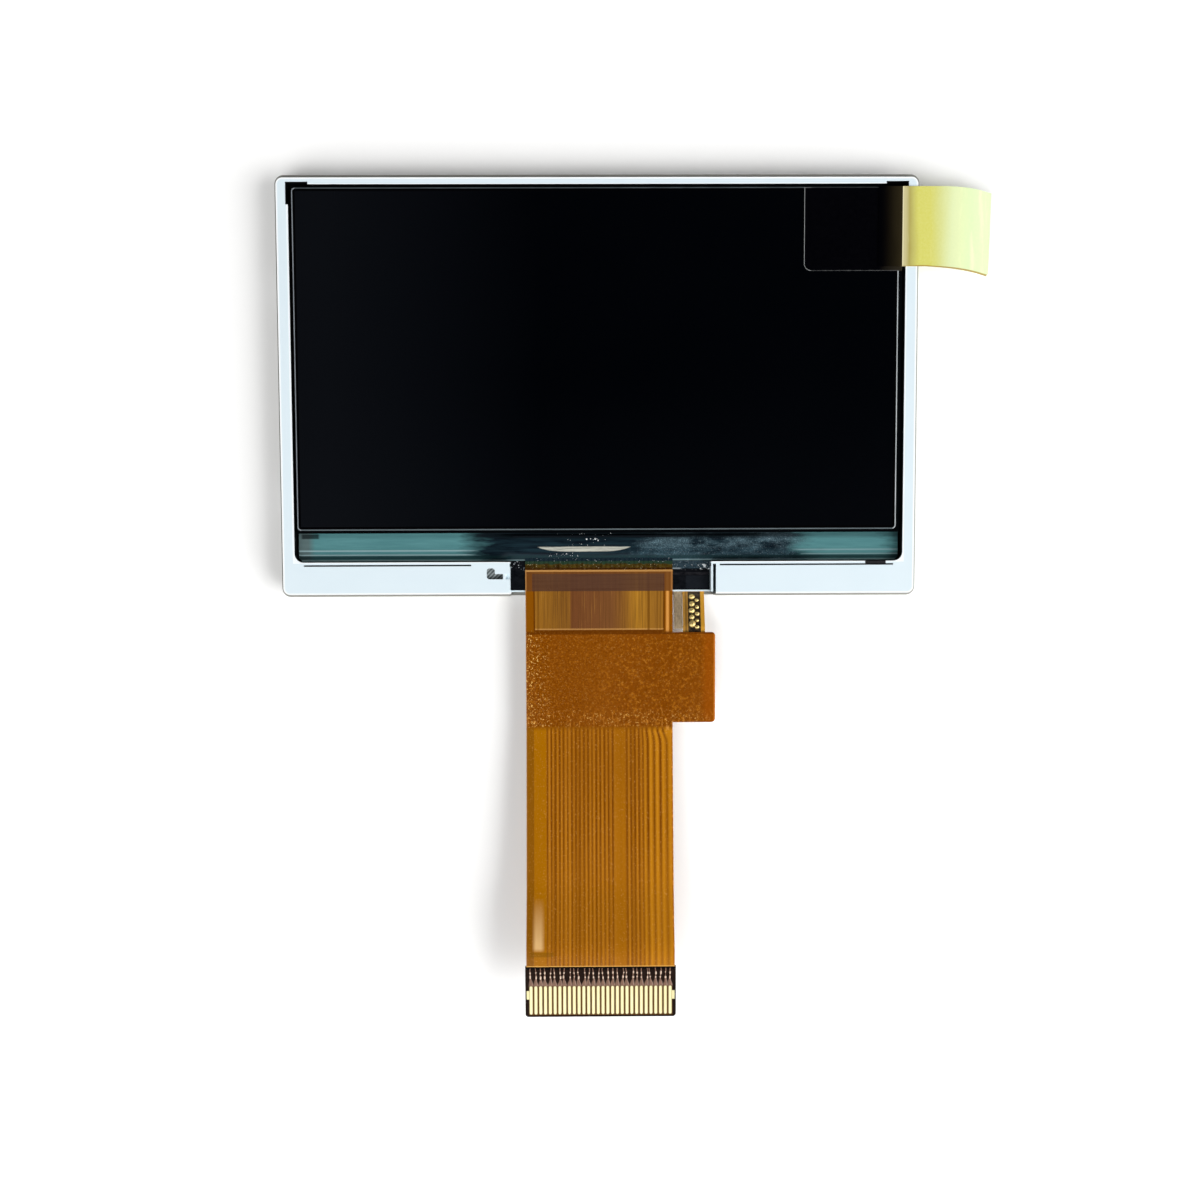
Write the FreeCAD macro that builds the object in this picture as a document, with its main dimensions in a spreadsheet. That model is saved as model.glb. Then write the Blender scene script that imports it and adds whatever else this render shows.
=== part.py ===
import FreeCAD, Part
import math
import os
import re
import Sketcher

# Small colour display module with a flex tail, in millimetres.
# The origin is the middle of the module's back face. X runs along the long side,
# Y away from the flex, Z out of the screen.

doc = FreeCAD.newDocument("lcd_display")
sheet = doc.addObject("Spreadsheet::Sheet", "Sizes")
sums = doc.addObject("Spreadsheet::Sheet", "Sums")

# Driving sizes: name, value, what it is
sizes = [
    ("frame_wide", 65.7, "white frame, long side"),
    ("frame_deep", 42.6, "white frame, short side"),
    ("frame_top", 2.9, "height of the frame's top face over the back"),
    ("frame_corner", 0.7, "outer corner radius of the frame"),
    ("tray_steel", 0.2, "steel of the back tray"),
    ("tray_wall_top", 2.5, "height of the tray's wall tops"),
    ("tray_gap", 0.03, "gap between tray wall and frame"),
    ("tray_gap_north", 0.2, "the same gap on the side away from the flex"),
    ("side_rim", 1.2, "frame rim at the left and right"),
    ("north_rim", 0.65, "frame rim away from the flex"),
    ("south_rim", 3.35, "frame bar on the flex side"),
    ("side_shelf", 0.85, "shelf under the cell, left and right"),
    ("north_shelf", 0.55, "shelf under the cell, away from the flex"),
    ("south_shelf", 0.55, "shelf under the cell, flex side"),
    ("seat_corner", 0.95, "corner radius of the cell's seat, flex side"),
    ("relief_long", 2.3, "corner relief, length along each wall"),
    ("relief_deep", 0.25, "corner relief, depth into the rim"),
    ("lug_out", 0.38, "reach of the clip lugs past the frame"),
    ("side_lug_out", 0.2, "reach of the other lugs past the frame"),
    ("lug_low", 1.1, "underside of the clip lugs"),
    ("lug_tall", 0.9, "height of the clip lugs"),
    ("lug_gap", 0.06, "clearance of a lug in its window"),
    ("lug_root", 0.5, "lugs start this far inside the frame's faces"),
    ("cut_past", 1.0, "cuts in the tray reach this far past its walls"),
    ("lug_west_in", 5.45, "middle of the broad lug at the far left, from the frame's side"),
    ("lug_west_wide", 1.8, "its width"),
    ("lug_east_in", 5.95, "middle of the broad lug at the far right, from the frame's side"),
    ("lug_east_wide", 4.4, "its width"),
    ("small_lug_wide", 0.55, "width of the small lugs"),
    ("small_lug_one", -23.4, "places of the small lugs"),
    ("small_lug_two", -15.7, "places of the small lugs"),
    ("small_lug_three", -6.9, "places of the small lugs"),
    ("small_lug_four", 7.3, "places of the small lugs"),
    ("side_lug_in", 10.3, "middle of the side lugs, from the frame's ends"),
    ("side_lug_wide", 3.0, "width of the side lugs and of the lugs on the flex side"),
    ("south_lug_in", 10.85, "middle of the lugs on the flex side, from the frame's sides"),
    ("recess_west", 9.3, "flex recess, from the middle to its left end"),
    ("recess_past_tail", 0.55, "flex recess past the amber tail"),
    ("step_past", 0.5, "stepped outer wall past the recess"),
    ("step_in", 0.2, "step of the outer wall at the flex"),
    ("lip_thick", 0.15, "thin wall outside the flex recess"),
    ("groove_wide", 0.16, "fine groove along the bar"),
    ("groove_deep", 0.4, "its depth"),
    ("groove_in", 0.26, "its distance from the cell's seat"),
    ("groove_inner_west", 13.3, "its end near the flex, left of the middle"),
    ("groove_inner_east", 12.6, "its end near the flex, right of the middle"),
    ("groove_clear", 0.95, "its far end from the seat's side"),
    ("slit_wide", 0.3, "slit beside the recess"),
    ("hook_long", 1.7, "hook-shaped pocket, long arm"),
    ("hook_tall", 1.15, "hook-shaped pocket, short arm"),
    ("hook_stem", 0.85, "hook-shaped pocket, width of the short arm"),
    ("hook_arm", 0.55, "hook-shaped pocket, width of the long arm"),
    ("hook_round", 0.3, "hook-shaped pocket, rounding of the short arm"),
    ("notch_long", 0.4, "notch beside the recess, in line with the long arm"),
    ("hook_deep", 0.5, "hook-shaped pocket, depth"),
    ("hook_east", 10.0, "hook-shaped pocket, right end from the middle"),
    ("hook_in", 0.65, "hook-shaped pocket, from the seat"),
    ("sheet_gap", 0.2, "side clearance of the light guide and films"),
    ("reflector_thick", 0.08, "reflector sheet"),
    ("guide_thick", 0.8, "light guide"),
    ("diffuser_thick", 0.1, "diffuser sheet"),
    ("prism_thick", 0.1, "each prism sheet"),
    ("film_back", 0.6, "films end this far inside the light guide's lit edge"),
    ("tape_thick", 0.06, "black rim tape"),
    ("tape_inside", 1.5, "width of the rim tape"),
    ("tape_in", 0.4, "rim tape clear of the seat's walls"),
    ("rear_pol_thick", 0.15, "rear polarizer"),
    ("rear_pol_in", 0.5, "rear polarizer inside the glass edge"),
    ("glass_thick", 0.5, "each glass plate"),
    ("glass_gap", 0.25, "side gap between glass and seat"),
    ("glass_gap_end", 0.12, "end gap between glass and seat"),
    ("ledge_wide", 2.9, "contact ledge of the rear glass"),
    ("ledge_chamfer", 0.35, "cut corners of the contact ledge"),
    ("cell_gap", 0.02, "liquid crystal layer, thickened to be a solid"),
    ("seal_in", 0.15, "seal inside the front glass edge"),
    ("seal_wide", 0.7, "width of the cell seal"),
    ("front_pol_thick", 0.17, "front polarizer"),
    ("front_pol_in", 0.1, "front polarizer inside the glass, left"),
    ("front_pol_in_east", 0.45, "the same, right"),
    ("front_pol_in_north", 0.2, "the same, away from the flex"),
    ("front_pol_in_south", 0.3, "the same, flex side"),
    ("front_pol_corner", 0.4, "corner radius of polarizer and film"),
    ("film_thick", 0.06, "protective film"),
    ("film_in", 0.03, "protective film inside the polarizer edge"),
    ("patch_wide", 10.1, "clear sticker, along X"),
    ("patch_deep", 8.4, "clear sticker, along Y"),
    ("patch_thick", 0.06, "clear sticker"),
    ("patch_over", 0.33, "clear sticker past the polarizer, right"),
    ("patch_down", 0.09, "clear sticker below the polarizer's top edge"),
    ("patch_corner", 0.75, "its rounded inner corner"),
    ("tab_thick", 0.08, "pull tab"),
    ("tab_deep", 8.05, "pull tab, along Y"),
    ("tab_lap", 2.5, "pull tab on the clear sticker"),
    ("tab_level", 4.0, "level run of the pull tab past the sticker"),
    ("tab_radius", 9.0, "bend radius of the pull tab"),
    ("tab_angle", 30.0, "droop of the pull tab, degrees"),
    ("tab_drop_run", 1.75, "straight end of the pull tab"),
    ("tab_flare", 0.6, "how much wider the pull tab is at its free end"),
    ("tab_flare_from", 2.4, "start of that widening, past the sticker"),
    ("tab_end_in", 0.12, "free end of the pull tab, trimmed back at its far corner"),
    ("tab_slant", 0.3, "slant of the free end"),
    ("tab_snip", 0.35, "cut near corner of the free end"),
    ("chip_long", 18.0, "driver chip"),
    ("chip_wide", 0.9, "driver chip"),
    ("chip_thick", 0.3, "driver chip"),
    ("chip_back", 0.3, "driver chip from the front glass"),
    ("sealant_thick", 0.42, "sealant over the ledge"),
    ("sealant_west", 12.0, "sealant, left end from the middle"),
    ("sealant_east", 19.0, "sealant, right end from the middle"),
    ("led_long", 3.8, "side-view light-emitting diode"),
    ("led_deep", 1.1, "the same, along Y"),
    ("led_count", 5, "number of the diodes"),
    ("led_gap", 0.08, "diode to light guide"),
    ("led_flex_thick", 0.1, "strip that carries the diodes"),
    ("led_flex_wide", 2.6, "the same, along Y"),
    ("led_flex_lap", 0.4, "its lap over the light guide"),
    ("led_room", 0.1, "room round the diodes and strip in the frame"),
    ("tail_beside", 1.12, "amber tail beside the flex"),
    ("tail_wide", 2.3, "width of the amber tail"),
    ("tail_lap", 1.2, "amber tail under the wide part"),
    ("tail_rise", 15.0, "climb of the amber tail, degrees"),
    ("tail_radius", 1.2, "bend radius of the amber tail"),
    ("tail_tape_wide", 0.86, "grey tape strip beside the tail"),
    ("tail_tape_thick", 0.05, "grey tape strip"),
    ("dot_size", 0.52, "diameter of a large solder dot"),
    ("small_dot_size", 0.38, "diameter of a small solder dot"),
    ("dot_tall", 0.12, "height of the solder dots"),
    ("dot_flat", 0.7, "flat top of a solder dot, as a share of its diameter"),
    ("dot_pitch", 0.72, "spacing of the solder dots"),
    ("dot_count", 5, "dots in each column"),
    ("dot_in", 0.99, "large dots from the tail's left edge"),
    ("small_dot_in", 1.61, "small dots from the tail's left edge"),
    ("dot_shift", 0.1, "small dots ahead of the large ones"),
    ("bond_thick", 0.02, "bond film between ledge and flex"),
    ("bond_long", 1.3, "length of flex on the ledge"),
    ("flex_tape_thick", 0.1, "black tape under the flex"),
    ("base_thick", 0.06, "flex base film"),
    ("copper_thick", 0.03, "copper of the flex"),
    ("cover_thick", 0.04, "top film of the flex"),
    ("flex_west", 7.73, "left edge of the flex, from the middle"),
    ("flex_wide", 15.46, "width of the flex"),
    ("wide_part_beside", 4.49, "wide part past the flex's right edge"),
    ("wide_part_out", 4.1, "wide part, from the frame's edge"),
    ("wide_part_long", 9.55, "length of the wide part"),
    ("wide_part_corner", 0.4, "corner radius of the wide part"),
    ("cover_start", 0.85, "top film starts this far outside the bar's inner edge"),
    ("window_back", 0.2, "thin window starts this far inside the frame's edge"),
    ("window_long", 4.0, "thin window, length"),
    ("window_in", 1.0, "thin window inside the flex edges"),
    ("bend_gap", 0.03, "first bend past the wide part"),
    ("rise_radius", 25.0, "first bend"),
    ("rise_angle", 5.0, "slope after the first bend, degrees"),
    ("rise_run", 14.2, "gentle run"),
    ("steep_radius", 20.0, "second bend"),
    ("steep_angle", 12.0, "slope after the second bend, degrees"),
    ("steep_run", 4.0, "steep run"),
    ("end_radius", 8.0, "last bend"),
    ("end_run", 6.13, "level contact end"),
    ("contact_long", 5.35, "length of the stiffened contact end"),
    ("contact_over", 0.12, "contact end past each side of the flex"),
    ("contact_corner", 0.35, "corner radius of the contact end"),
    ("stiffener_thick", 0.2, "plate under the contacts"),
    ("finger_count", 30, "number of gold fingers"),
    ("finger_pitch", 0.5, "spacing of the gold fingers"),
    ("finger_wide", 0.36, "gold finger"),
    ("finger_long", 3.0, "gold finger"),
    ("finger_end", 0.28, "gold finger from the end"),
    ("finger_thick", 0.04, "gold and copper of a finger"),
    ("ear_long", 0.9, "side ears of the outer fingers"),
    ("ear_out", 0.28, "reach of the ears"),
    ("lead_wide", 0.14, "thin leads between fingers and top film"),
    ("trace_wide", 0.3, "copper trace of the tail"),
    ("trace_first", 4.75, "first trace, left of the middle"),
    ("trace_pitch", 0.485, "spacing of the traces"),
    ("trace_count", 26, "number of narrow traces"),
    ("band_west", 6.85, "left edge of the broad trace, from the middle"),
    ("band_wide", 1.2, "broad trace"),
    ("trace_start", 0.6, "traces start past the window's far end"),
    ("pour_in", 0.3, "copper inside the flex edges"),
    ("bond_lead_first", 7.2, "first lead of the bond, left of the middle"),
    ("bond_lead_wide", 0.3, "lead of the bond"),
    ("bond_lead_pitch", 0.5, "spacing of the bond leads"),
    ("bond_lead_count", 29, "number of the bond leads"),
    ("ear_in", 0.5, "ears from the inner end of the fingers"),
    ("tape_clear", 0.04, "clearance round the black tape"),
    ("sealant_in", 0.12, "sealant inside the ledge"),
    ("sealant_corner", 0.5, "corner radius of the sealant"),
    ("tab_up", 0.08, "pull tab above the sticker's top edge"),
    ("light_inset", 0.3, "strip of the diodes inside the light guide's width"),
    ("tail_gap", 0.05, "grey tape from the tail and the frame"),
    ("tail_clear", 0.12, "level run of the tail outside the frame"),
    ("part_long", 1.0, "chip capacitor"),
    ("part_wide", 0.5, "chip capacitor"),
    ("part_tall", 0.35, "chip capacitor"),
    ("part_pitch", 2.1, "spacing of the capacitors"),
    ("part_count", 8, "number of the capacitors"),
]
for row, (alias, value, note) in enumerate(sizes, start=1):
    sheet.set("A%d" % row, note)
    sheet.set("B%d" % row, str(value))
    sheet.setAlias("B%d" % row, alias)
doc.recompute()

names = [alias for alias, value, note in sizes]
pieces = []
Vector = FreeCAD.Vector
touch = 0.01    # two places nearer than this are the same

# Heights of the stack, each as a sum of sizes
guide_low = "(tray_steel + reflector_thick)"
guide_top = "(%s + guide_thick)" % guide_low
diffuser_top = "(%s + diffuser_thick)" % guide_top
lower_prism_top = "(%s + prism_thick)" % diffuser_top
seat_low = "(%s + prism_thick)" % lower_prism_top
cell_low = "(%s + tape_thick)" % seat_low
glass_low = "(%s + rear_pol_thick)" % cell_low
ledge_top = "(%s + glass_thick)" % glass_low
front_low = "(%s + cell_gap)" % ledge_top
front_top = "(%s + glass_thick)" % front_low
polarizer_top = "(%s + front_pol_thick)" % front_top
film_top = "(%s + film_thick)" % polarizer_top
patch_top = "(%s + patch_thick)" % film_top
flex_low = "(%s + bond_thick)" % ledge_top
strip_top = "(%s + led_flex_thick)" % guide_top

# Edges that several pieces share
seat_side = "(frame_wide / 2 - side_rim)"
seat_north = "(frame_deep / 2 - north_rim)"
seat_south = "(south_rim - frame_deep / 2)"
light_side = "(%s - side_shelf)" % seat_side
light_north = "(%s - north_shelf)" % seat_north
light_south = "(%s + south_shelf)" % seat_south
guide_side = "(%s - sheet_gap)" % light_side
guide_north = "(%s - sheet_gap)" % light_north
guide_south = "(%s + led_gap)" % light_south
glass_side = "(%s - glass_gap)" % seat_side
glass_north = "(%s - glass_gap_end)" % seat_north
glass_south = "(%s + glass_gap_end)" % seat_south
front_south = "(%s + ledge_wide)" % glass_south
pol_west = "(front_pol_in - %s)" % glass_side
pol_east = "(%s - front_pol_in_east)" % glass_side
pol_north = "(%s - front_pol_in_north)" % glass_north
pol_south = "(%s + front_pol_in_south)" % front_south
strip_north = "(%s + led_flex_lap)" % guide_south
strip_south = "(%s - led_flex_wide)" % strip_north
step_south = "(step_in - frame_deep / 2)"
recess_south = "(%s + lip_thick)" % step_south
flex_east = "(flex_wide - flex_west)"
tail_west = "(%s + tail_beside)" % flex_east
tail_east = "(%s + tail_wide)" % tail_west
wide_east = "(%s + wide_part_beside)" % flex_east
recess_east = "(%s + recess_past_tail)" % tail_east
step_east = "(%s + step_past)" % recess_east
bond_north = "(%s + bond_long)" % glass_south
wide_north = "(frame_deep / 2 + wide_part_out)"
wide_south = "(%s + wide_part_long)" % wide_north
level_end = "(0 - %s - bend_gap)" % wide_south
window_north = "(frame_deep / 2 - window_back)"
patch_east = "(%s + patch_over)" % pol_east
patch_north = "(%s - patch_down)" % pol_north
led_pitch = "(2 * %s / led_count)" % guide_side
flex_reach = ("(rise_radius * sin(rise_angle) + rise_run * cos(rise_angle)"
              " + steep_radius * (sin(steep_angle) - sin(rise_angle)) + steep_run * cos(steep_angle)"
              " + end_radius * sin(steep_angle) + end_run)")
flex_climb = ("(rise_radius * (1 - cos(rise_angle)) + rise_run * sin(rise_angle)"
              " + steep_radius * (cos(rise_angle) - cos(steep_angle)) + steep_run * sin(steep_angle)"
              " + end_radius * (1 - cos(steep_angle)))")
contact_south = "(%s - %s)" % (level_end, flex_reach)
contact_north = "(%s + contact_long)" % contact_south
contact_low = "(%s + %s)" % (flex_low, flex_climb)


def size(alias):
    """Number of one driving size."""
    return float(sheet.get(alias))


def value(text):
    """Number that a sum of sizes comes to, worked out on the second sheet."""
    sums.set("A1", "=" + bound(text))
    sums.recompute()
    return float(sums.get("A1"))


def bound(text):
    """The sum with each size name pointed at the sheet."""
    return re.sub(r"[a-z_]+", lambda word: "Sizes." + word[0] if word[0] in names else word[0], text)


def new_body(label):
    body = doc.addObject("PartDesign::Body", label)
    body.Label = label
    body.AllowCompound = True
    pieces.append(body)
    return body


def plane_sketch(body, name, level="0", role="XY_Plane"):
    """Sketch on an origin plane of its own body, lifted to a height."""
    sketch = body.newObject("Sketcher::SketchObject", name)
    plane = [item for item in body.Origin.OriginFeatures if item.Role == role][0]
    sketch.AttachmentSupport = [(plane, "")]
    sketch.MapMode = "FlatFace"
    sketch.setExpression("AttachmentOffset.Base.z", bound(level))
    return sketch


def pin(sketch, kind, *where):
    """One measured constraint, its value bound to a sum of sizes."""
    number = sketch.addConstraint(Sketcher.Constraint(kind, *where[:-1], value(where[-1])))
    sketch.setExpression("Constraints[%d]" % number, bound(where[-1]))


def draw_rectangle(sketch, west, east, south, north):
    first = sketch.GeometryCount
    corners = [Vector(0, 0, 0), Vector(1, 0, 0), Vector(1, 1, 0), Vector(0, 1, 0)]
    for side in range(4):
        sketch.addGeometry(Part.LineSegment(corners[side], corners[(side + 1) % 4]))
    for side in range(4):
        sketch.addConstraint(Sketcher.Constraint("Coincident", first + side, 2, first + (side + 1) % 4, 1))
        direction = "Horizontal" if side % 2 == 0 else "Vertical"
        sketch.addConstraint(Sketcher.Constraint(direction, first + side))
    pin(sketch, "DistanceX", -1, 1, first, 1, west)
    pin(sketch, "DistanceY", -1, 1, first, 1, south)
    pin(sketch, "DistanceX", -1, 1, first + 1, 2, east)
    pin(sketch, "DistanceY", -1, 1, first + 1, 2, north)


def pad(body, name, low, top, *rectangles):
    """Rectangles in plan, raised from one height to another."""
    sketch = plane_sketch(body, name + "_sketch", low)
    for rectangle in rectangles:
        draw_rectangle(sketch, *rectangle)
    feature = body.newObject("PartDesign::Pad", name)
    feature.Profile = sketch
    feature.setExpression("Length", bound("(%s) - (%s)" % (top, low)))
    doc.recompute()
    return feature


def draw_outline(sketch, *corners):
    """Closed outline with straight sides, each corner pinned from the origin."""
    places = [Vector(value(x), value(y), 0) for x, y in corners]
    for side in range(len(corners)):
        sketch.addGeometry(Part.LineSegment(places[side], places[(side + 1) % len(corners)]))
    for side, (x, y) in enumerate(corners):
        sketch.addConstraint(Sketcher.Constraint("Coincident", side, 2, (side + 1) % len(corners), 1))
        pin(sketch, "DistanceX", -1, 1, side, 1, x)
        pin(sketch, "DistanceY", -1, 1, side, 1, y)


def pocket(body, name, low, top, *rectangles):
    """Rectangles in plan, cut from one height down to another."""
    sketch = plane_sketch(body, name + "_sketch", top)
    for rectangle in rectangles:
        draw_rectangle(sketch, *rectangle)
    cut_down(body, name, sketch, low, top)


def trim(body, name, low, top, *corners):
    """Outline with straight sides, cut from one height down to another."""
    sketch = plane_sketch(body, name + "_sketch", top)
    draw_outline(sketch, *corners)
    cut_down(body, name, sketch, low, top)


def cut_down(body, name, sketch, low, top):
    """Cut of a sketch's area, which has to take something away."""
    before = body.Shape.Volume
    feature = body.newObject("PartDesign::Pocket", name)
    feature.Profile = sketch
    feature.setExpression("Length", bound("(%s) - (%s)" % (top, low)))
    doc.recompute()
    if feature.Shape.Volume >= before:
        raise ValueError(name + " cuts nothing")


def upright_edges(feature, chosen):
    """Names of the upright edges whose place passes a test."""
    found = []
    for number, edge in enumerate(feature.Shape.Edges, start=1):
        start, end = edge.Vertexes[0].Point, edge.Vertexes[-1].Point
        upright = math.hypot(start.x - end.x, start.y - end.y) < 1e-6
        if upright and chosen(start):
            found.append("Edge%d" % number)
    return found


def round_corners(body, radius, chosen=lambda point: True):
    """Rounds the chosen upright edges of the body's last feature."""
    feature = body.Tip
    fillet = body.newObject("PartDesign::Fillet", feature.Name + "_corners")
    fillet.Base = (feature, upright_edges(feature, chosen))
    fillet.setExpression("Radius", bound(radius))
    doc.recompute()


def cut_corners(body, reach, chosen):
    """Chamfers the chosen upright edges of the body's last feature."""
    feature = body.Tip
    chamfer = body.newObject("PartDesign::Chamfer", feature.Name + "_cuts")
    chamfer.Base = (feature, upright_edges(feature, chosen))
    chamfer.setExpression("Size", bound(reach))
    doc.recompute()


def plate(label, low, top, west, east, south, north):
    """Flat piece with a rectangular outline."""
    body = new_body(label)
    pad(body, label + "_pad", low, top, (west, east, south, north))
    return body


def row_of(body, feature, spacing, count):
    """Copies of a feature in a row along X."""
    pattern = body.newObject("PartDesign::LinearPattern", feature.Name + "_row")
    pattern.Originals = [feature]
    axis = [item for item in body.Origin.OriginFeatures if item.Role == "X_Axis"][0]
    pattern.Direction = (axis, [""])
    pattern.setExpression("Length", bound("%s * (%s - 1)" % (spacing, count)))
    pattern.setExpression("Occurrences", bound(count))
    body.Tip = pattern
    doc.recompute()


def band(middle, width, grow="0"):
    """Both ends of a stretch, from its middle and width."""
    return "%s - %s / 2 - %s" % (middle, width, grow), "%s + %s / 2 + %s" % (middle, width, grow)


def lug_places(grow, reach, side_reach):
    """Plan rectangles of the clip lugs, or of their windows in the tray's walls."""
    places = []
    north = [("(lug_west_in - frame_wide / 2)", "lug_west_wide"),
             ("(frame_wide / 2 - lug_east_in)", "lug_east_wide")]
    north += [("small_lug_" + word, "small_lug_wide") for word in ("one", "two", "three", "four")]
    for middle, width in north:
        west, east = band(middle, width, grow)
        places.append((west, east, "frame_deep / 2 - lug_root", "frame_deep / 2 + " + reach))
    for sign in ("-", ""):
        low, high = band(sign + "(frame_deep / 2 - side_lug_in)", "side_lug_wide", grow)
        places.append(("frame_wide / 2 - lug_root", "frame_wide / 2 + " + side_reach, low, high))
        places.append(("-frame_wide / 2 - " + side_reach, "lug_root - frame_wide / 2", low, high))
        low, high = band(sign + "(frame_wide / 2 - south_lug_in)", "side_lug_wide", grow)
        places.append((low, high, "-frame_deep / 2 - " + side_reach, "lug_root - frame_deep / 2"))
    return places


def make_tray():
    """Folded steel tray: base and low walls, open at the flex, with windows for the lugs."""
    side = "(frame_wide / 2 + tray_gap + tray_steel)"
    north = "(frame_deep / 2 + tray_gap_north + tray_steel)"
    south = "(-frame_deep / 2 - tray_gap - tray_steel)"
    body = plate("back_tray", "0", "tray_wall_top", "-" + side, side, south, north)
    round_corners(body, "frame_corner + tray_gap + tray_steel")
    rounded = body.Tip
    faces = rounded.Shape.Faces
    upper = max(range(len(faces)), key=lambda number: faces[number].CenterOfMass.z)
    shell = body.newObject("PartDesign::Thickness", "tray_shell")
    shell.Base = (rounded, ["Face%d" % (upper + 1)])
    shell.Reversed = True
    shell.setExpression("Value", bound("tray_steel"))
    doc.recompute()
    pocket(body, "tray_flex_gap", "tray_steel", "tray_wall_top",
           ("-recess_west", step_east, south + " - cut_past", "-frame_deep / 2"))
    pocket(body, "tray_windows", "lug_low - lug_gap", "lug_low + lug_tall + lug_gap",
           *lug_places("lug_gap", "(tray_gap_north + cut_past)", "(tray_gap + cut_past)"))


def make_frame():
    """White moulded frame: seat for the cell, chamber for the light guide, bar for the diodes."""
    side = "(frame_wide / 2)"
    end = "(frame_deep / 2)"
    body = plate("backlight_frame", "tray_steel", "frame_top", "-" + side, side, "-" + end, end)
    round_corners(body, "frame_corner")
    pocket(body, "cell_seat", seat_low, "frame_top", ("-" + seat_side, seat_side, seat_south, seat_north))
    seat_edge = value(seat_side)
    round_corners(body, "seat_corner", lambda point: abs(abs(point.x) - seat_edge) < touch and point.y < 0)
    pocket(body, "light_chamber", "tray_steel", seat_low,
           ("-" + light_side, light_side, light_south, light_north))
    pocket(body, "diode_room", "tray_steel", strip_top + " + led_room",
           ("-" + guide_side, guide_side, strip_south + " - led_room", light_south + " + led_room"))
    cut_reliefs(body)
    pocket(body, "flex_step", "tray_steel", "frame_top", ("-recess_west", step_east, "-" + end, step_south))
    pocket(body, "flex_lip", flex_low, "frame_top", ("-recess_west", recess_east, step_south, seat_south))
    pocket(body, "flex_recess", flex_low + " - flex_tape_thick", flex_low,
           ("-recess_west", recess_east, recess_south, seat_south))
    pocket(body, "tail_slot", guide_top + " - led_room", strip_top + " + led_room",
           (tail_west + " - led_room", tail_east + " + led_room", step_south, strip_south))
    pocket(body, "side_slit", flex_low, "frame_top",
           (step_east + " - slit_wide", step_east, step_south, seat_south + " - groove_in"))
    groove_north = seat_south + " - groove_in"
    groove_outer = "(%s - groove_clear)" % seat_side
    pocket(body, "bar_grooves", "frame_top - groove_deep", "frame_top",
           ("-" + groove_outer, "-groove_inner_west", groove_north + " - groove_wide", groove_north),
           ("groove_inner_east", groove_outer, groove_north + " - groove_wide", groove_north))
    cut_hook(body)
    pad(body, "clip_lugs", "lug_low", "lug_low + lug_tall", *lug_places("0", "lug_out", "side_lug_out"))


def cut_reliefs(body):
    """Stepped reliefs in both walls of the seat's far corners."""
    outer = "(%s + relief_deep)" % seat_side
    north = "(%s + relief_deep)" % seat_north
    for name, along_x, along_y in (("relief_across", "relief_long", "relief_deep"),
                                   ("relief_down", "relief_deep", "relief_long")):
        inner = "(%s - %s)" % (outer, along_x)
        south = "%s - %s" % (north, along_y)
        pocket(body, name, seat_low, "frame_top", ("-" + outer, "-" + inner, south, north),
               (inner, outer, south, north))


def cut_hook(body):
    """Hook-shaped pocket in the bar, and the notch that continues its long arm at the recess."""
    north = "(%s - hook_in)" % seat_south
    south = "(%s - hook_tall)" % north
    west = "(0 - hook_east - hook_long)"
    stem = "(%s + hook_stem)" % west
    floor = "frame_top - hook_deep"
    pocket(body, "hook_short_arm", floor, "frame_top", (west, stem, south, north))
    pocket(body, "hook_long_arm", floor, "frame_top", (stem, "-hook_east", south, south + " + hook_arm"))
    pocket(body, "recess_notch", floor, "frame_top",
           ("-recess_west - notch_long", "-recess_west", south, south + " + hook_arm"))
    corners = [(value(west), value(south)), (value(west), value(north)), (value(stem), value(north))]
    round_corners(body, "hook_round", lambda point: any(
        math.hypot(point.x - x, point.y - y) < touch for x, y in corners))


def make_backlight():
    """Reflector, light guide and films, with the diodes and their strip on the flex side."""
    plate("reflector_sheet", "tray_steel", guide_low, "-" + guide_side, guide_side, strip_south, guide_north)
    plate("light_guide", guide_low, guide_top, "-" + guide_side, guide_side, guide_south, guide_north)
    films_south = guide_south + " + film_back"
    layers = [("diffuser_sheet", guide_top, diffuser_top),
              ("lower_prism_sheet", diffuser_top, lower_prism_top),
              ("upper_prism_sheet", lower_prism_top, seat_low)]
    for label, low, top in layers:
        plate(label, low, top, "-" + guide_side, guide_side, films_south, guide_north)
    for number in range(int(size("led_count"))):
        middle = "%s * (%d - (led_count - 1) / 2)" % (led_pitch, number)
        west, east = band(middle, "led_long")
        plate("led_%d" % (number + 1), guide_low, guide_top, west, east,
              light_south + " - led_deep", light_south)


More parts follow.
